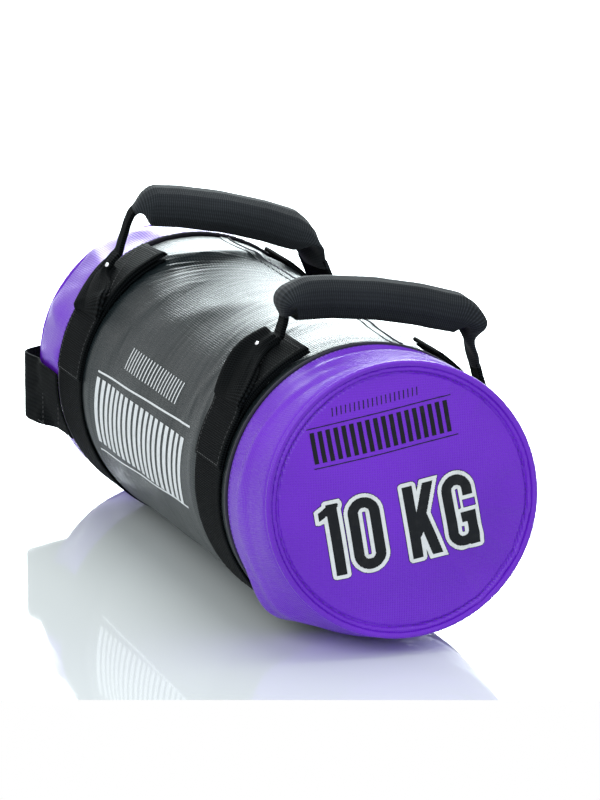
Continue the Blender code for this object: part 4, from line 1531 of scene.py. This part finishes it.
        leg_cloth = Webbing(centre, wide, out, halves, thicks, fold, columns=24)
        made = leg_cloth.build(f"{label}_sewn_end")
        nodes = [f"{label}_anchor"]
        if left:
            nodes.append(f"{self.plan.name}_handle_webbing")
        Workshop.finish(made, self.finishes.strap, Slot.WEBBING, nodes, body=None)
        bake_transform(made)
        high, low, edge = end.fold + 1.5, end.sewn - 1.4, self.anchor_edge
        corners = [(high, -edge), (low, -edge), (low, edge), (high, edge)]
        self._sew(f"{label}_anchor_stitches", made, end, corners)
        return made

    def _flap(self, label: str, end: FoldedEnd) -> bpy.types.Object:
        """The half of the webbing that is folded over the sewn end."""
        count = 60
        angles = np.linspace(end.fold + 3.0, end.tip, count)
        share = (angles[0] - angles) / (angles[0] - angles[-1])
        rise = np.sin(np.minimum(share * 1.15, 1.0) * math.pi / 2) ** end.climb
        lift = BAG.radius + 0.0050 + 0.0024 * end.over_tab(angles)
        radius = lift + (end.foot_radius() + end.over - lift) * rise
        turn = np.radians(end.turned(angles))
        x = self.plan.strap + 0.0010 - (end.shift + 0.0040) * ease(share * 1.1)
        centre = np.stack((x, radius * np.sin(turn), BAG.axis_z + radius * np.cos(turn)), axis=-1)
        wide = squared(np.tile((1.0, 0.0, 0.0), (count, 1)), headings(centre))
        out = unit(np.cross(headings(centre), wide)) * end.side.value
        narrow = ease(share * 1.15)
        half = 0.0230 * (1.0 - narrow) + 0.0105 * narrow
        thick = 0.0010 + 0.0020 * rise

        def fold(across: Array, row: Array) -> Array:
            s = share[row]
            puff = rise[row] * (1.0 - 0.55 * ease((s - 0.6) / 0.4))
            roll = end.curl * puff * ease((-across + 0.15) / 1.0) ** 1.3
            roll -= 0.0036 * rise[row] * ease((across - 0.45) / 0.55)
            pleats = np.abs(np.sin(across * 3.4 + s * 1.5 + 0.4)) ** 0.7 - 0.6
            return roll + 0.0014 * np.sin(math.pi * np.minimum(1.0, s * 1.2)) * pleats

        cloth = Webbing(centre, wide, out, half, thick, fold, columns=28)
        made = cloth.build(f"{label}_flap")
        Workshop.finish(made, self.finishes.strap, Slot.WEBBING)
        return made

    def _rivet(self, label: str, end: FoldedEnd, cloths: tuple[Surface, Surface]) -> None:
        """The rivet through the fold, seated on whichever cloth lies on top."""
        start, inward = self._ray(end, *end.rivet)
        met = [cloth.meet(start, inward) for cloth in cloths]
        place, normal = min(
            (hit for hit in met if hit[0] is not None), key=lambda hit: (hit[0] - start).length
        )
        stand = Matrix.Translation(place) @ normal.to_track_quat("Z", "Y").to_matrix().to_4x4()
        outline = (
            (0.0, 0.0013), (0.0008, 0.0012), (0.0014, 0.0009), (0.0018, 0.0004),
            (0.0019, -0.0001), (0.0018, -0.0006), (0.0011, -0.0008), (0.0011, -0.0036),
            (0.0, -0.0036),
        )
        cap = Workshop.revolved(outline, f"{label}_rivet_cap", stand)
        Workshop.finish(cap, self.finishes.steel, Slot.STEEL, (f"{label}_rivet",))

    def _grip(self, path: Array) -> None:
        """The padded grip: a foam bar with blunt ends under a sleeve that narrows to the legs."""
        reach = distances(path)
        start = self.plan.cloth[0]
        stop = sum(self.plan.cloth)
        rows, columns = self.grip_rows, self.grip_columns
        stations = np.linspace(start, stop, rows + 1)
        centre = points_at(stations, reach, path)
        for _ in range(8):
            centre[1:-1] = (centre[:-2] + 2.0 * centre[1:-1] + centre[2:]) / 4.0
        ahead = headings(centre)
        left, right = stations - start, stop - stations
        head, tail = self.plan.blunt
        wide = self.plan.turned_width(ahead, right - tail)
        up = np.cross(wide, ahead)
        half = self.grip_half - (0.0175 - self.plan.waist) * (1.0 - ease(left / 0.013))
        half -= (self.grip_half - self.plan.slim) * (1.0 - ease((right - tail + 0.014) / 0.012))
        half += 0.0030 * hump(right - tail + 0.001, 0.006)
        above = self.leg_half + self.fill * np.minimum(
            ease(left / self.plan.shoulder), ease((right - tail + 0.012) / self.plan.slope)
        )
        full = np.minimum(ease((left - head) / self.plan.heel), ease((right - tail) / 0.005))
        belly = 0.88 + 0.12 * ease((right - tail) / 0.030)
        below = self.leg_half + self.plan.deep * full * belly
        pull = self.plan.elbow * hump(right - tail + 0.001, 0.009)
        sag = 1.0 + 0.02 * np.sin(stations * 95.0) + 0.012 * np.sin(stations * 211.0 + 1.0)
        tuck = np.minimum(np.arange(rows + 1), np.arange(rows, -1, -1))
        tuck = np.where(tuck == 0, 0.0, np.where(tuck == 1, 0.9, 1.0))
        turns = np.radians((0, 30, 58, 78, 90, 97, 108, 122, 140, 160, 180))
        reach_out = np.array((0.0, 0.52, 0.86, 0.975, 1.0, 0.955, 0.90, 0.85, 0.74, 0.42, 0.0))
        heights = np.array((1.0, 0.90, 0.55, 0.12, -0.22, -0.36, -0.50, -0.72, -0.92, -1.0, -1.0))

        def place(column: Array, row: Array) -> tuple[Array, Array]:
            turn = 2.0 * math.pi * (column % columns) / columns
            folded = np.minimum(turn, 2.0 * math.pi - turn)
            side = np.where(turn <= math.pi, 1.0, -1.0)
            share = full[row]
            a = np.interp(folded, turns, reach_out) * share + np.sin(folded) * (1.0 - share)
            h = np.interp(folded, turns, heights) * share + np.cos(folded) * (1.0 - share)
            tall = np.where(h > 0.0, above[row], below[row])
            slack = 0.0006 * np.sin(stations[row] * 310.0 + 2.0 * turn) * (1.0 - share)
            point = np.maximum(0.0, np.cos(turn - math.radians(58.0))) ** 4 * pull[row]
            across = side * (half[row] * a * sag[row] + slack * np.sin(folded)) + 0.6 * point
            rise = tall * h + slack * np.cos(folded) + point
            across, rise = across * tuck[row], rise * tuck[row]
            points = centre[row] + wide[row] * across[:, None] + up[row] * rise[:, None]
            return points, np.stack((column / columns * self.girth, stations[row]), axis=-1)

        made = Workshop.grid(f"{self.plan.name}_grip", columns, rows, place)
        name = self.plan.name
        nodes = (f"{name}_grip_sleeve", f"{name}_grip_foam")
        Workshop.finish(made, self.finishes.cloth, Slot.SLEEVE, nodes, body=f"{name}_handle")


@dataclass
class GirthStraps:
    """The two straps that go round the bag under the handles."""

    finishes: Finishes

    def build(self) -> None:
        """Builds both straps."""
        degrees = np.linspace(35.0, 340.0, 200)
        for name, x in (("near", BAG.near_strap), ("far", BAG.far_strap)):
            path = round_bag(x, degrees, BAG.gap + BAG.webbing_thick / 2)
            strap = Webbing(*path, BAG.webbing / 2, BAG.webbing_thick)
            made = strap.build(f"{name}_girth_webbing")
            Workshop.finish(made, self.finishes.strap, Slot.WEBBING, (f"{name}_girth_strap",))


@dataclass
class EndLoop:
    """The webbing loop across the far end, sewn to both sides of the far band.

    drop is how far it lies below the axis, hinge the x of its CAD hinge, plane how far its sides
    lie from the axis, reach how far it stands out past the far seam, past_seam how far its
    corners do, and from_middle how far the long stitch rows lie from its middle.
    """

    finishes: Finishes
    drop: float = 0.022
    hinge: float = -0.2179182
    plane: float = 0.1003
    past_seam: float = 0.014
    reach: float = 0.052
    from_middle: float = 0.0215

    def build(self) -> None:
        """Builds the loop as one length of webbing with its sewn ends."""
        side = self._side_points()
        corner = BAG.far_seam - self.past_seam
        bow = self.reach - self.past_seam - BAG.webbing_thick / 2
        half = self.plane + BAG.webbing_thick / 2
        shares = np.linspace(-1.0, 1.0, 15)
        middle = [(corner - bow * (1.0 - s * s), half * s) for s in shares]
        left = [(x, -y) for x, y in side]
        right = [(x, y) for x, y in side[::-1]]
        rows = [(x, y, BAG.axis_z - self.drop) for x, y in (*left, *middle, *right)]
        centre = smooth_through(rows, 220)
        wide = np.tile((0.0, 0.0, 1.0), (len(centre), 1))
        out = unit(np.cross(wide, headings(centre)))
        reach = distances(centre)
        near_end = np.minimum(reach, reach[-1] - reach)

        def fold(across: Array, row: Array) -> Array:
            height = across * BAG.webbing / 2 - self.drop
            full = BAG.radius - 0.003
            bow = np.sqrt(full**2 - height**2) - math.sqrt(full**2 - self.drop**2)
            sewn = 1.0 - ease((near_end[row] - 0.034) / 0.022)
            fan = np.sin(9.0 * across + near_end[row] * 150.0) * hump(near_end[row] - 0.052, 0.013)
            soft = ease((near_end[row] - 0.075) / 0.03) * np.sin(near_end[row] * 60.0) * across
            return bow * sewn + 0.0007 * fan + 0.0007 * soft

        thick = BAG.webbing_thick + 0.0002
        loop = Webbing(centre, wide, out, BAG.webbing / 2, thick, fold, columns=22)
        made = loop.build("end_loop_webbing")
        nodes = ("end_handle_loop", "end_handle_left_anchor", "end_handle_right_anchor")
        Workshop.finish(made, self.finishes.strap, Slot.WEBBING, nodes, body=None)
        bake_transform(made)
        self._stitches(side)

    def _side_points(self) -> list[Pair]:
        """The right sewn end's path from its free end to the hinge: x and y."""
        start = BAG.far_ring + 0.0009
        points = []
        for x in np.linspace(start, self.hinge + 0.004, 8):
            share = (BAG.far_ring - x) / BAG.band
            radius = BAG.radius - BAG.far_drop * share**2
            side = math.sqrt(radius**2 - self.drop**2) + 0.0034
            blend = float(ease((start - x) / 0.030))
            points.append((float(x), side + (self.plane + 0.0008 - side) * blend))
        return points

    def _stitches(self, side: Sequence[Pair]) -> None:
        """The stitches that hold the loop's ends."""
        rows = []
        x = np.array([p[0] for p in side])
        y = np.array([p[1] for p in side]) + 0.0010
        z = BAG.axis_z - self.drop
        for sign in (-1.0, 1.0):
            for height in (-self.from_middle, self.from_middle):
                spots = np.stack((x, sign * y, np.full_like(x, z + height)), axis=-1)
                rows.append((spots, np.tile((0.0, sign, 0.0), (len(x), 1))))
            for at in (x[0] - 0.0035, x[0] - 0.040):
                heights = np.linspace(-self.from_middle, self.from_middle, 16)
                there = np.full_like(heights, sign * float(np.interp(-at, -x, y)))
                spots = np.stack((np.full_like(heights, at), there, z + heights), axis=-1)
                rows.append((spots, np.tile((0.0, sign, 0.0), (len(heights), 1))))
        Thread().make("end_loop_stitches", rows, self.finishes.black_thread, Slot.WEBBING)


@dataclass(frozen=True)
class Figures:
    """The weight in plain block figures, as a field of distances to their edges.

    Places are measured along the line of figures and up from its foot.
    """

    height: float = 0.0500
    stroke: float = 0.0036

    @staticmethod
    def _line(u: Array, v: Array, a: Pair, b: Pair) -> Array:
        """Distances to a straight line between two points."""
        along = ((u - a[0]) * (b[0] - a[0]) + (v - a[1]) * (b[1] - a[1])) / (
            (b[0] - a[0]) ** 2 + (b[1] - a[1]) ** 2
        )
        along = np.clip(along, 0.0, 1.0)
        return np.hypot(u - a[0] - (b[0] - a[0]) * along, v - a[1] - (b[1] - a[1]) * along)

    @staticmethod
    def _box(u: Array, v: Array, low: Pair, high: Pair) -> Array:
        """Distances to a box, negative inside."""
        a = np.abs(u - (low[0] + high[0]) / 2) - (high[0] - low[0]) / 2
        b = np.abs(v - (low[1] + high[1]) / 2) - (high[1] - low[1]) / 2
        outside = np.hypot(np.maximum(a, 0.0), np.maximum(b, 0.0))
        return outside + np.minimum(np.maximum(a, b), 0.0)

    def _ring(self, u: Array, v: Array, low: float, high: float) -> Array:
        """Distances to an upright ring with rounded ends, negative in its stroke."""
        s, corner = self.stroke, 0.0072
        inner = self._box(
            u, v, (low + s + corner, s + corner), (high - s - corner, self.height - s - corner)
        )
        return np.abs(inner - corner) - s

    def distance(self, u: Array, v: Array) -> Array:
        """Distances to the figures' edges, negative inside them.

        Args:
            u: Places along the line.
            v: Places up from its foot.

        Returns:
            Distances in metres.
        """
        s, h = self.stroke, self.height
        one = self._box(u, v, (0.0001, 0.0), (0.0073, h))
        flag = self._line(u, v, (0.0060, h - 0.0010), (-0.0060, h - 0.0078)) - 0.0026
        flag = np.maximum(flag, np.maximum(-0.0058 - u, v - h))
        zero = self._ring(u, v, 0.0138, 0.0360)
        stem = self._box(u, v, (0.0534, 0.0), (0.0606, h))
        upper = self._line(u, v, (0.0590, 0.0170), (0.0735, h + 0.004)) - s
        lower = self._line(u, v, (0.0640, 0.0290), (0.0720, -0.004)) - s
        arms = np.maximum(np.minimum(upper, lower), np.maximum(np.maximum(-v, v - h), 0.057 - u))
        bowl = self._ring(u, v, 0.0804, 0.1022)
        mouth = self._box(u, v, (0.0913, 0.0235), (0.1060, 0.0345))
        bowl = np.maximum(bowl, -mouth)
        bar = self._box(u, v, (0.0913, 0.0168), (0.1022, 0.0235))
        heel = self._box(u, v, (0.0950, 0.0), (0.1022, 0.0170))
        return np.minimum.reduce((one, flag, zero, stem, arms, bowl, bar, heel))


@dataclass
class Prints:
    """The plain rules, bars and weight mark printed on the bag.

    ink is the ink's thickness, lift the height of its top off the vinyl, cell the length of the
    cells that let a plate follow the bag, and panel_size half the near panel's width and height.
    """

    finishes: Finishes
    skin: BagSkin
    ink: float = 0.00012
    cell: float = 0.0045
    lift: float = 0.00022
    panel_size: Pair = (0.0919, 0.0909)
    mark_cells: tuple[int, int] = (216, 104)
    mark_cell: float = 0.00055

    def build(self) -> None:
        """Prints the side and the near panel."""
        self._side()
        self._panel_rules()
        self._weight_mark()

    def _plate(self, shell: bmesh.types.BMesh, corners: Sequence[Pair]) -> None:
        """Adds a flat four-sided plate, cut into cells so that it can follow the bag.

        Args:
            shell: The mesh that gets it.
            corners: Its corners in order round it.
        """
        a, b, c, d = (np.array(corner) for corner in corners)
        across = max(1, round(float(np.linalg.norm(b - a)) / self.cell))
        along = max(1, round(float(np.linalg.norm(d - a)) / self.cell))
        made = bmesh.ops.create_grid(shell, x_segments=across, y_segments=along, size=0.5)
        for corner in made["verts"]:
            u, v = corner.co.x + 0.5, corner.co.y + 0.5
            spot = (a * (1 - u) + b * u) * (1 - v) + (d * (1 - u) + c * u) * v
            corner.co = (spot[0], spot[1], 0.0)

    def _rule(self, shell: bmesh.types.BMesh, first: Pair, last: Pair, half: float) -> None:
        """Adds a thin rule between two points, with half its breadth to each side."""
        ends = ((first, -half), (last, -half), (last, half), (first, half))
        self._plate(shell, [(point[0], point[1] + aside) for point, aside in ends])

    def _lay(
        self, name: str, shell: bmesh.types.BMesh, lay: Callable[[Array, float], Array], lift: float
    ) -> bpy.types.Object:
        """Lays a flat print on the bag and gives it its thickness.

        Args:
            name: The piece's name.
            shell: The flat mesh.
            lay: Gives places on the bag for flat places and a height.
            lift: Height of the ink's top.

        Returns:
            The piece.
        """
        whole = bmesh.ops.extrude_face_region(shell, geom=shell.faces[:])
        tops = {item for item in whole["geom"] if isinstance(item, bmesh.types.BMVert)}
        corners = shell.verts[:]
        flat = np.array([corner.co for corner in corners])
        high = lay(flat, lift)
        low = lay(flat, lift - self.ink)
        for i, corner in enumerate(corners):
            corner.co = high[i] if corner in tops else low[i]
        bmesh.ops.recalc_face_normals(shell, faces=shell.faces[:])
        return Workshop.piece(name, shell, 30.0)

    @staticmethod
    def _on_side(flat: Array, lift: float) -> Array:
        """Places on the bag's left side: X along the bag and arc length down from the top."""
        degrees = -np.degrees(flat[:, 1] / BAG.radius)
        return SKIN.point(flat[:, 0], degrees, lift)

    def _on_panel(self, flat: Array, lift: float) -> Array:
        """Places on the near panel: y and height from its middle."""
        degrees = np.degrees(np.arctan2(flat[:, 0], flat[:, 1]))
        share = np.hypot(flat[:, 0] / self.panel_size[0], flat[:, 1] / self.panel_size[1])
        return self.skin.panel_point(1, share, degrees, lift)

    def _bars(
        self,
        shell: bmesh.types.BMesh,
        low: Pair,
        high: Pair,
        count: int,
        slant: float,
        share: float,
    ) -> None:
        """Adds a row of slanted bars in a frame.

        Args:
            shell: The mesh that gets them.
            low: The frame's first corner.
            high: Its opposite corner.
            count: How many bars.
            slant: How far a bar's second end is moved along.
            share: The bar's share of its pitch.
        """
        pitch = (high[0] - low[0] - slant) / count
        for i in range(count):
            a = low[0] + pitch * i
            b = a + pitch * share
            corners = [(a, low[1]), (b, low[1]), (b + slant, high[1]), (a + slant, high[1])]
            self._plate(shell, corners)

    def _side(self) -> None:
        """The two white rules on the left side with rows of plain bars."""
        girth = math.radians(1.0) * BAG.radius
        shell = bmesh.new()
        self._rule(shell, (-0.081, 76.3 * girth), (0.1163, 73.1 * girth), 0.0007)
        self._rule(shell, (-0.089, 111.2 * girth), (0.1145, 106.6 * girth), 0.0007)
        self._bars(shell, (-0.0865, 107.2 * girth), (0.1145, 78.6 * girth), 18, 0.0055, 0.58)
        self._bars(shell, (-0.0340, 69.0 * girth), (0.0830, 59.5 * girth), 20, 0.0020, 0.26)
        made = self._lay("side_print", shell, self._on_side, self.lift)
        Workshop.finish(made, self.finishes.white_ink, Slot.BLACK_VINYL)

    def _panel_rules(self) -> None:
        """The two thin rules on the near panel with rows of plain bars."""
        shell = bmesh.new()
        self._rule(shell, (0.0, 0.0), (0.102, 0.0), 0.0003)
        self._rule(shell, (0.0, -0.0270), (0.102, -0.0270), 0.0003)
        self._bars(shell, (0.0010, -0.0240), (0.1010, -0.0028), 18, 0.0006, 0.55)
        self._bars(shell, (0.0190, 0.0050), (0.0830, 0.0105), 20, 0.0010, 0.20)
        turn = Matrix.Rotation(math.atan2(0.0168, 0.1006), 4, "Z")
        place = Matrix.Translation((-0.0664, 0.0530, 0.0))
        bmesh.ops.transform(shell, matrix=place @ turn, verts=shell.verts[:])
        made = self._lay("panel_rules", shell, self._on_panel, self.lift)
        Workshop.finish(made, self.finishes.black_ink, Slot.PURPLE_VINYL)

    def _weight_mark(self) -> None:
        """The weight in black block figures with a white edge, and past that a ring of black ink
        that is painted shadow along the edge.
        """
        turn = Matrix.Rotation(math.radians(9.0), 4, "Z")
        place = Matrix.Translation((-0.0480, -0.0478, 0.0))
        for name, grow, lift, ink in (
            # Painted shadow: the first layer is a thin ring of black ink just past the white edge,
            # standing in for the shadow line along it.
            ("weight_mark_shadow_line", 0.0031, self.lift, self.finishes.black_ink),
            ("weight_mark_edge", 0.0027, self.lift + self.ink, self.finishes.white_ink),
            ("weight_mark", 0.0, self.lift + 2.0 * self.ink, self.finishes.black_ink),
        ):
            shell = self._figures(grow)
            bmesh.ops.transform(shell, matrix=place @ turn, verts=shell.verts[:])
            made = self._lay(name, shell, self._on_panel, lift)
            Workshop.finish(made, ink, Slot.PURPLE_VINYL)

    def _figures(self, grow: float) -> bmesh.types.BMesh:
        """Cuts the figures out of a fine flat grid whose corners are drawn to their edges.

        Args:
            grow: How far past the figures the edges lie.

        Returns:
            The flat mesh.
        """
        field = Figures()
        shell = bmesh.new()
        size = self.mark_cell
        columns, rows = self.mark_cells
        bmesh.ops.create_grid(shell, x_segments=columns, y_segments=rows, size=0.5)
        flat = np.array([corner.co for corner in shell.verts])
        u = (flat[:, 0] + 0.5) * columns * size - 0.0100
        v = (flat[:, 1] + 0.5) * rows * size - 0.0038
        edge = field.distance(u, v) - grow
        near = np.abs(edge) < 0.52 * size
        step = 1e-5
        for _ in range(3):
            gap = field.distance(u, v) - grow
            slope_u = (field.distance(u + step, v) - grow - gap) / step
            slope_v = (field.distance(u, v + step) - grow - gap) / step
            norm = np.maximum(slope_u**2 + slope_v**2, 0.3)
            u = u - np.where(near, gap * slope_u / norm, 0.0)
            v = v - np.where(near, gap * slope_v / norm, 0.0)
        for corner, a, b in zip(shell.verts, u, v):
            corner.co = (a, b, 0.0)
        inside = np.where(near, 0.0, edge)
        spare = [
            face
            for face in shell.faces
            if max(inside[corner.index] for corner in face.verts) > 0.0
            or all(near[corner.index] for corner in face.verts)
        ]
        bmesh.ops.delete(shell, geom=spare, context="FACES")
        bmesh.ops.dissolve_degenerate(shell, edges=shell.edges[:], dist=1e-6)
        return shell


@dataclass
class Studio:
    """The floor, the lights and the camera."""

    eye: Triple = (3.783069, -1.351078, 1.116798)
    right: Triple = (0.342262, 0.939604, 0.000409)
    up: Triple = (-0.228084, 0.082660, 0.970126)
    ahead: Triple = (-0.911501, 0.332131, -0.242600)
    focal: float = 5803.47
    frame_height: float = 800.0
    floor_front: float = 0.3640
    floor_size: float = 14.0
    floor_colour: Triple = (0.930, 0.965, 0.970)
    world_colour: Triple = (0.640, 0.705, 0.715)
    gloss_colour: Triple = (0.86, 0.98, 1.0)

    def build(self) -> None:
        """Sets up the studio."""
        self._floor()
        self._world()
        self._lamps()
        self._camera()

    def _floor(self) -> None:
        """A pale glossy floor that keeps the bag's shadow and a soft mirror image."""
        shell = bmesh.new()
        bmesh.ops.create_grid(shell, x_segments=2, y_segments=2, size=self.floor_size)
        turn = Matrix.Rotation(math.atan2(self.right[1], self.right[0]), 4, "Z")
        slide = Matrix.Translation((0.0, self.floor_size - self.floor_front, 0.0))
        bmesh.ops.transform(shell, matrix=turn @ slide, verts=shell.verts[:])
        floor = Workshop.piece("floor", shell)
        paper = Recipe("pale_floor", IOR=1.45, Specular_IOR_Level=0.5)
        paper.give(paper.shader.inputs["Base Color"], rgba(*self.floor_colour))
        paper.give(paper.shader.inputs["Roughness"], 0.04)
        floor.data.materials.append(paper.material)

    def _world(self) -> None:
        """An even pale world that is white to the camera and to gloss."""
        world = bpy.data.worlds.new("studio")
        bpy.context.scene.world = world
        world.use_nodes = True
        tree = world.node_tree
        background = tree.nodes["Background"]
        path = tree.nodes.new("ShaderNodeLightPath")
        seen = tree.nodes.new("ShaderNodeMath")
        seen.operation = "MAXIMUM"
        tree.links.new(path.outputs["Is Camera Ray"], seen.inputs[0])
        tree.links.new(path.outputs["Is Glossy Ray"], seen.inputs[1])
        level = tree.nodes.new("ShaderNodeMix")
        level.data_type = "RGBA"
        level.inputs[6].default_value = rgba(*self.world_colour)
        level.inputs[7].default_value = rgba(1.0, 1.0, 1.0)
        tree.links.new(seen.outputs[0], level.inputs[0])
        tree.links.new(level.outputs[2], background.inputs["Color"])

    def _lamps(self) -> None:
        """Soft boxes behind, before and over the bag, and a large one that only gloss mirrors."""
        for name, place, size, power, diffuse in (
            ("back_softbox", (-2.85, 0.75, 1.15), 1.3, 14.0, True),
            ("gloss_softbox", (-2.876, 1.047, 1.085), 1.95, 115.0, False),
            ("front_softbox", (1.9, -1.9, 1.9), 1.6, 25.0, True),
            ("top_softbox", (0.0, 0.2, 2.6), 2.0, 20.0, True),
        ):
            light = bpy.data.lights.new(name, "AREA")
            light.size = size
            light.energy = power
            lamp = bpy.data.objects.new(name, light)
            bpy.context.scene.collection.objects.link(lamp)
            lamp.location = place
            lamp.visible_diffuse = diffuse
            if not diffuse:
                light.color = self.gloss_colour
            aim = Vector((0.0, 0.0, 0.1)) - Vector(place)
            lamp.rotation_euler = aim.to_track_quat("-Z", "Y").to_euler()

    def _camera(self) -> None:
        """The camera at the photograph's angle."""
        data = bpy.data.cameras.new("photo_camera")
        data.sensor_width = 36.0
        data.lens = self.focal * data.sensor_width / self.frame_height
        data.clip_end = 60.0
        camera = bpy.data.objects.new("photo_camera", data)
        bpy.context.scene.collection.objects.link(camera)
        back = tuple(-value for value in self.ahead)
        turn = Matrix((self.right, self.up, back)).transposed().to_4x4()
        camera.matrix_world = Matrix.Translation(self.eye) @ turn
        bpy.context.scene.camera = camera


def right_end(foot: Triple) -> FoldedEnd:
    """A right end, which the bag hides in the photograph's view."""
    return FoldedEnd(
        side=Side.RIGHT,
        tab_top=34.0,
        sewn=92.0,
        fold=78.0,
        tip=63.0,
        foot=foot,
        shift=0.0040,
        curl=0.0015,
        climb=1.4,
        over=0.0008,
        rivet=(69.5, -0.0044),
    )


NEAR_HANDLE = HandlePlan(
    name="near",
    strap=BAG.near_strap,
    left=FoldedEnd(
        side=Side.LEFT,
        tab_top=21.0,
        sewn=80.0,
        fold=53.0,
        tip=25.2,
        foot=(0.1550, -0.0444, 0.1982),
        shift=0.0150,
        curl=0.0056,
        climb=1.4,
        over=0.0018,
        rivet=(32.5, -0.0150),
    ),
    right=right_end((0.165382, 0.098980, 0.155400)),
    hinge=((0.152382, -0.051340, 0.200161), (0.165382, 0.098980, 0.155400)),
    knee=(0.1545, -0.0402, 0.2100),
    cloth=(0.0125, 0.1790),
    clearance=0.0086,
    tilt=8.2,
    shift=0.0055,
    lean=0.0,
    blunt=(0.0005, 0.0340),
    waist=0.0072,
    slim=0.0118,
    twist=0.0,
    elbow=0.0066,
    shoulder=0.030,
    slope=0.024,
    heel=0.005,
    half_length=0.0645,
)
FAR_HANDLE = HandlePlan(
    name="far",
    strap=BAG.far_strap,
    left=FoldedEnd(
        side=Side.LEFT,
        tab_top=20.5,
        sewn=85.5,
        fold=56.0,
        tip=36.5,
        foot=(-0.1520, -0.0587, 0.1929),
        shift=0.0160,
        curl=-0.0012,
        climb=1.8,
        over=-0.0032,
        rivet=(38.7, -0.0123),
        tab_tilt=0.0018,
    ),
    right=right_end((-0.139318, 0.098300, 0.155016)),
    hinge=((-0.152318, -0.063111, 0.192966), (-0.139318, 0.098300, 0.155016)),
    knee=None,
    cloth=(0.0340, 0.1610),
    clearance=0.0089,
    tilt=12.5,
    shift=-0.0110,
    lean=12.0,
    blunt=(0.0030, 0.0230),
    waist=0.0060,
    slim=0.0182,
    twist=-25.0,
    elbow=0.0,
    shoulder=0.017,
    slope=0.030,
    heel=0.011,
    deep=0.0094,
    half_length=0.0652,
)


def main() -> None:
    """Builds the bag's looks round the frame."""
    logging.basicConfig(level=logging.INFO, format="%(message)s")
    finishes = Finishes()
    finishes.dress_hidden()
    skin = BagSkin(finishes)
    skin.build()
    GirthStraps(finishes).build()
    for plan in (NEAR_HANDLE, FAR_HANDLE):
        TopHandle(finishes, plan).build()
    EndLoop(finishes).build()
    Prints(finishes, skin).build()
    Studio().build()
    bpy.context.scene.view_settings.view_transform = "Standard"


if __name__ == "__main__":
    main()
